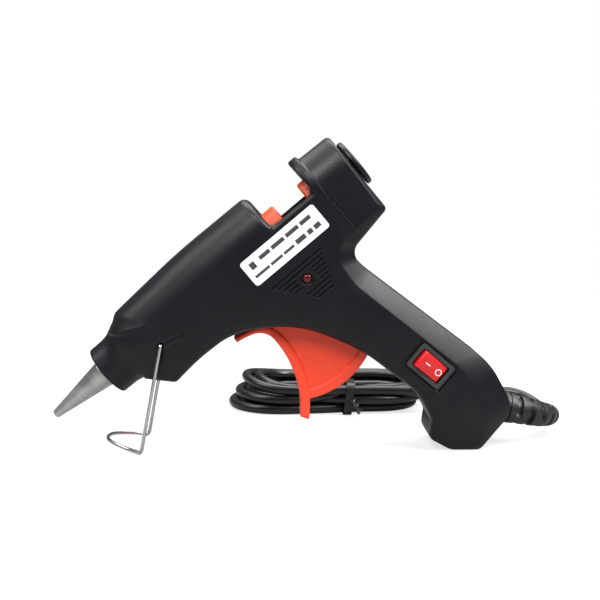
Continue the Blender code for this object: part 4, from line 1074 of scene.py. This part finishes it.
def stickerFinish():
    made, shader, wire = newFinish("labelFilm", (0.87, 0.87, 0.86), 0.42)
    place = wire.node("TexCoord", output=3)
    parts = wire.node("SeparateXYZ", None, {0: place})
    along = parts * (1 / mm)
    up = Wire(made.node_tree, parts.socket.node.outputs["Z"]) * (1 / mm)
    ink = 0.0
    for level, height, bars in sticker:
        inRow = 1 - (abs(up - level) > height / 2)
        for start, end in bars:
            ink = ink + inRow * (1 - (abs(along - (start + end) / 2) > (end - start) / 2))
    tone = grain(wire, 300.0, 3.0)
    paper = blendColours(wire, tone, (0.80, 0.80, 0.79, 1.0), (0.86, 0.86, 0.85, 1.0))
    bump = {"Height": grain(wire, 1500.0), "Strength": 0.05, "Distance": 0.00003}
    printed = blendColours(wire, ink, paper, (0.05, 0.05, 0.055, 1.0))
    feed(shader, printed, spread(wire, tone, 0.38, 0.46), bump)
    return made


makeLampAndLabel()
makeScrews()
print("switch, lamp, label and screws made")


# What is kept from the frame takes a finish too
keptNodes = {
    "heating_chamber": "cast", "front_insulator": "silicone", "chamber_saddle": "inner",
    "feed_sleeve": "silicone", "sleeve_clamp": "steel", "ptc_heater": "ceramic", "upper_electrode": "steel",
    "lower_electrode": "steel",
    "grip_jaw": "steel", "trigger_pin": "steel", "return_spring": "steel", "switch_terminal_1": "pin",
    "switch_terminal_2": "pin", "led_board": "board",
}
for name, finish in keptNodes.items():
    paint(frame["nodes"][name].data, finish)


# Floor, surround and lights
room = {"floor": 4.0, "fade": (0.2, 0.6), "plainShare": 0.7, "floorTone": 0.9, "surround": 0.17}


def makeFloor():
    form = bmesh.new()
    bmesh.ops.create_circle(form, cap_ends=True, radius=room["floor"], segments=96)
    mesh = bpy.data.meshes.new("floor")
    form.to_mesh(mesh)
    form.free()
    floor = newObject("floor", mesh)
    tone = room["floorTone"]
    made, shader, wire = newFinish("paper", (tone, tone, tone), 0.6, 0.0, {"Specular IOR Level": 0.25})
    # plain white takes a larger share away from the object, so that no far edge shows
    reach = wire.node("VectorMath", {"operation": "LENGTH"}, {0: wire.node("TexCoord", output=3)}, output=1)
    low, high = room["fade"]
    inputs = {"Value": reach, "From Min": low, "From Max": high, "To Min": room["plainShare"]}
    share = wire.node("MapRange", {"interpolation_type": "SMOOTHSTEP"}, inputs)
    path = wire.node("LightPath")
    glow = path + (1 - path) * room["surround"]
    plain = wire.node("Emission", None, {"Strength": glow})
    mixed = wire.node("MixShader", None, {0: share, 1: Wire(wire.tree, shader.outputs[0]), 2: plain})
    wire.tree.links.new(mixed.socket, wire.tree.nodes["Material Output"].inputs["Surface"])
    floor.data.materials.append(made)


def makeSurround():
    world = bpy.data.worlds.new("surround")
    bpy.context.scene.world = world
    world.use_nodes = True
    tree = world.node_tree
    tree.nodes.clear()
    wire = Wire(tree)
    plain = (1.0, 1.0, 1.0, 1.0)
    dim = wire.node("Background", None, {"Color": plain, "Strength": room["surround"]})
    white = wire.node("Background", None, {"Color": plain, "Strength": 1.0})
    mixed = wire.node("MixShader", None, {0: wire.node("LightPath"), 1: dim, 2: white})
    ending = tree.nodes.new("ShaderNodeOutputWorld")
    tree.links.new(mixed.socket, ending.inputs["Surface"])


# each light: where it stands, what it looks at, its size and its power in watts
lights = {
    "overhead": ((0.1, 0.35, 0.95), (0.0, 0.0, 0.0), (1.2, 0.7), 16.0),
    "left": ((-0.8, -0.1, 0.85), (0.0, 0.0, 0.05), (0.5, 0.6), 5.0),
    "right": ((0.7, -0.34, 0.93), (0.0, 0.0, 0.05), (0.5, 0.6), 20.0),
    "front": ((-0.35, -0.75, 0.95), (0.0, 0.0, 0.05), (0.4, 0.4), 11.0),
}


def makeLights():
    for name, (place, aim, size, power) in lights.items():
        made = bpy.data.lights.new(name, "AREA")
        made.shape = "RECTANGLE"
        made.size, made.size_y = size
        made.energy = power
        light = newObject(name, made)
        light.location = place
        light.rotation_mode = "QUATERNION"
        light.rotation_quaternion = (Vector(aim) - Vector(place)).to_track_quat("-Z", "Y")


makeFloor()
makeSurround()
makeLights()
bpy.context.scene.view_settings.view_transform = "Standard"
print("floor and lights made")
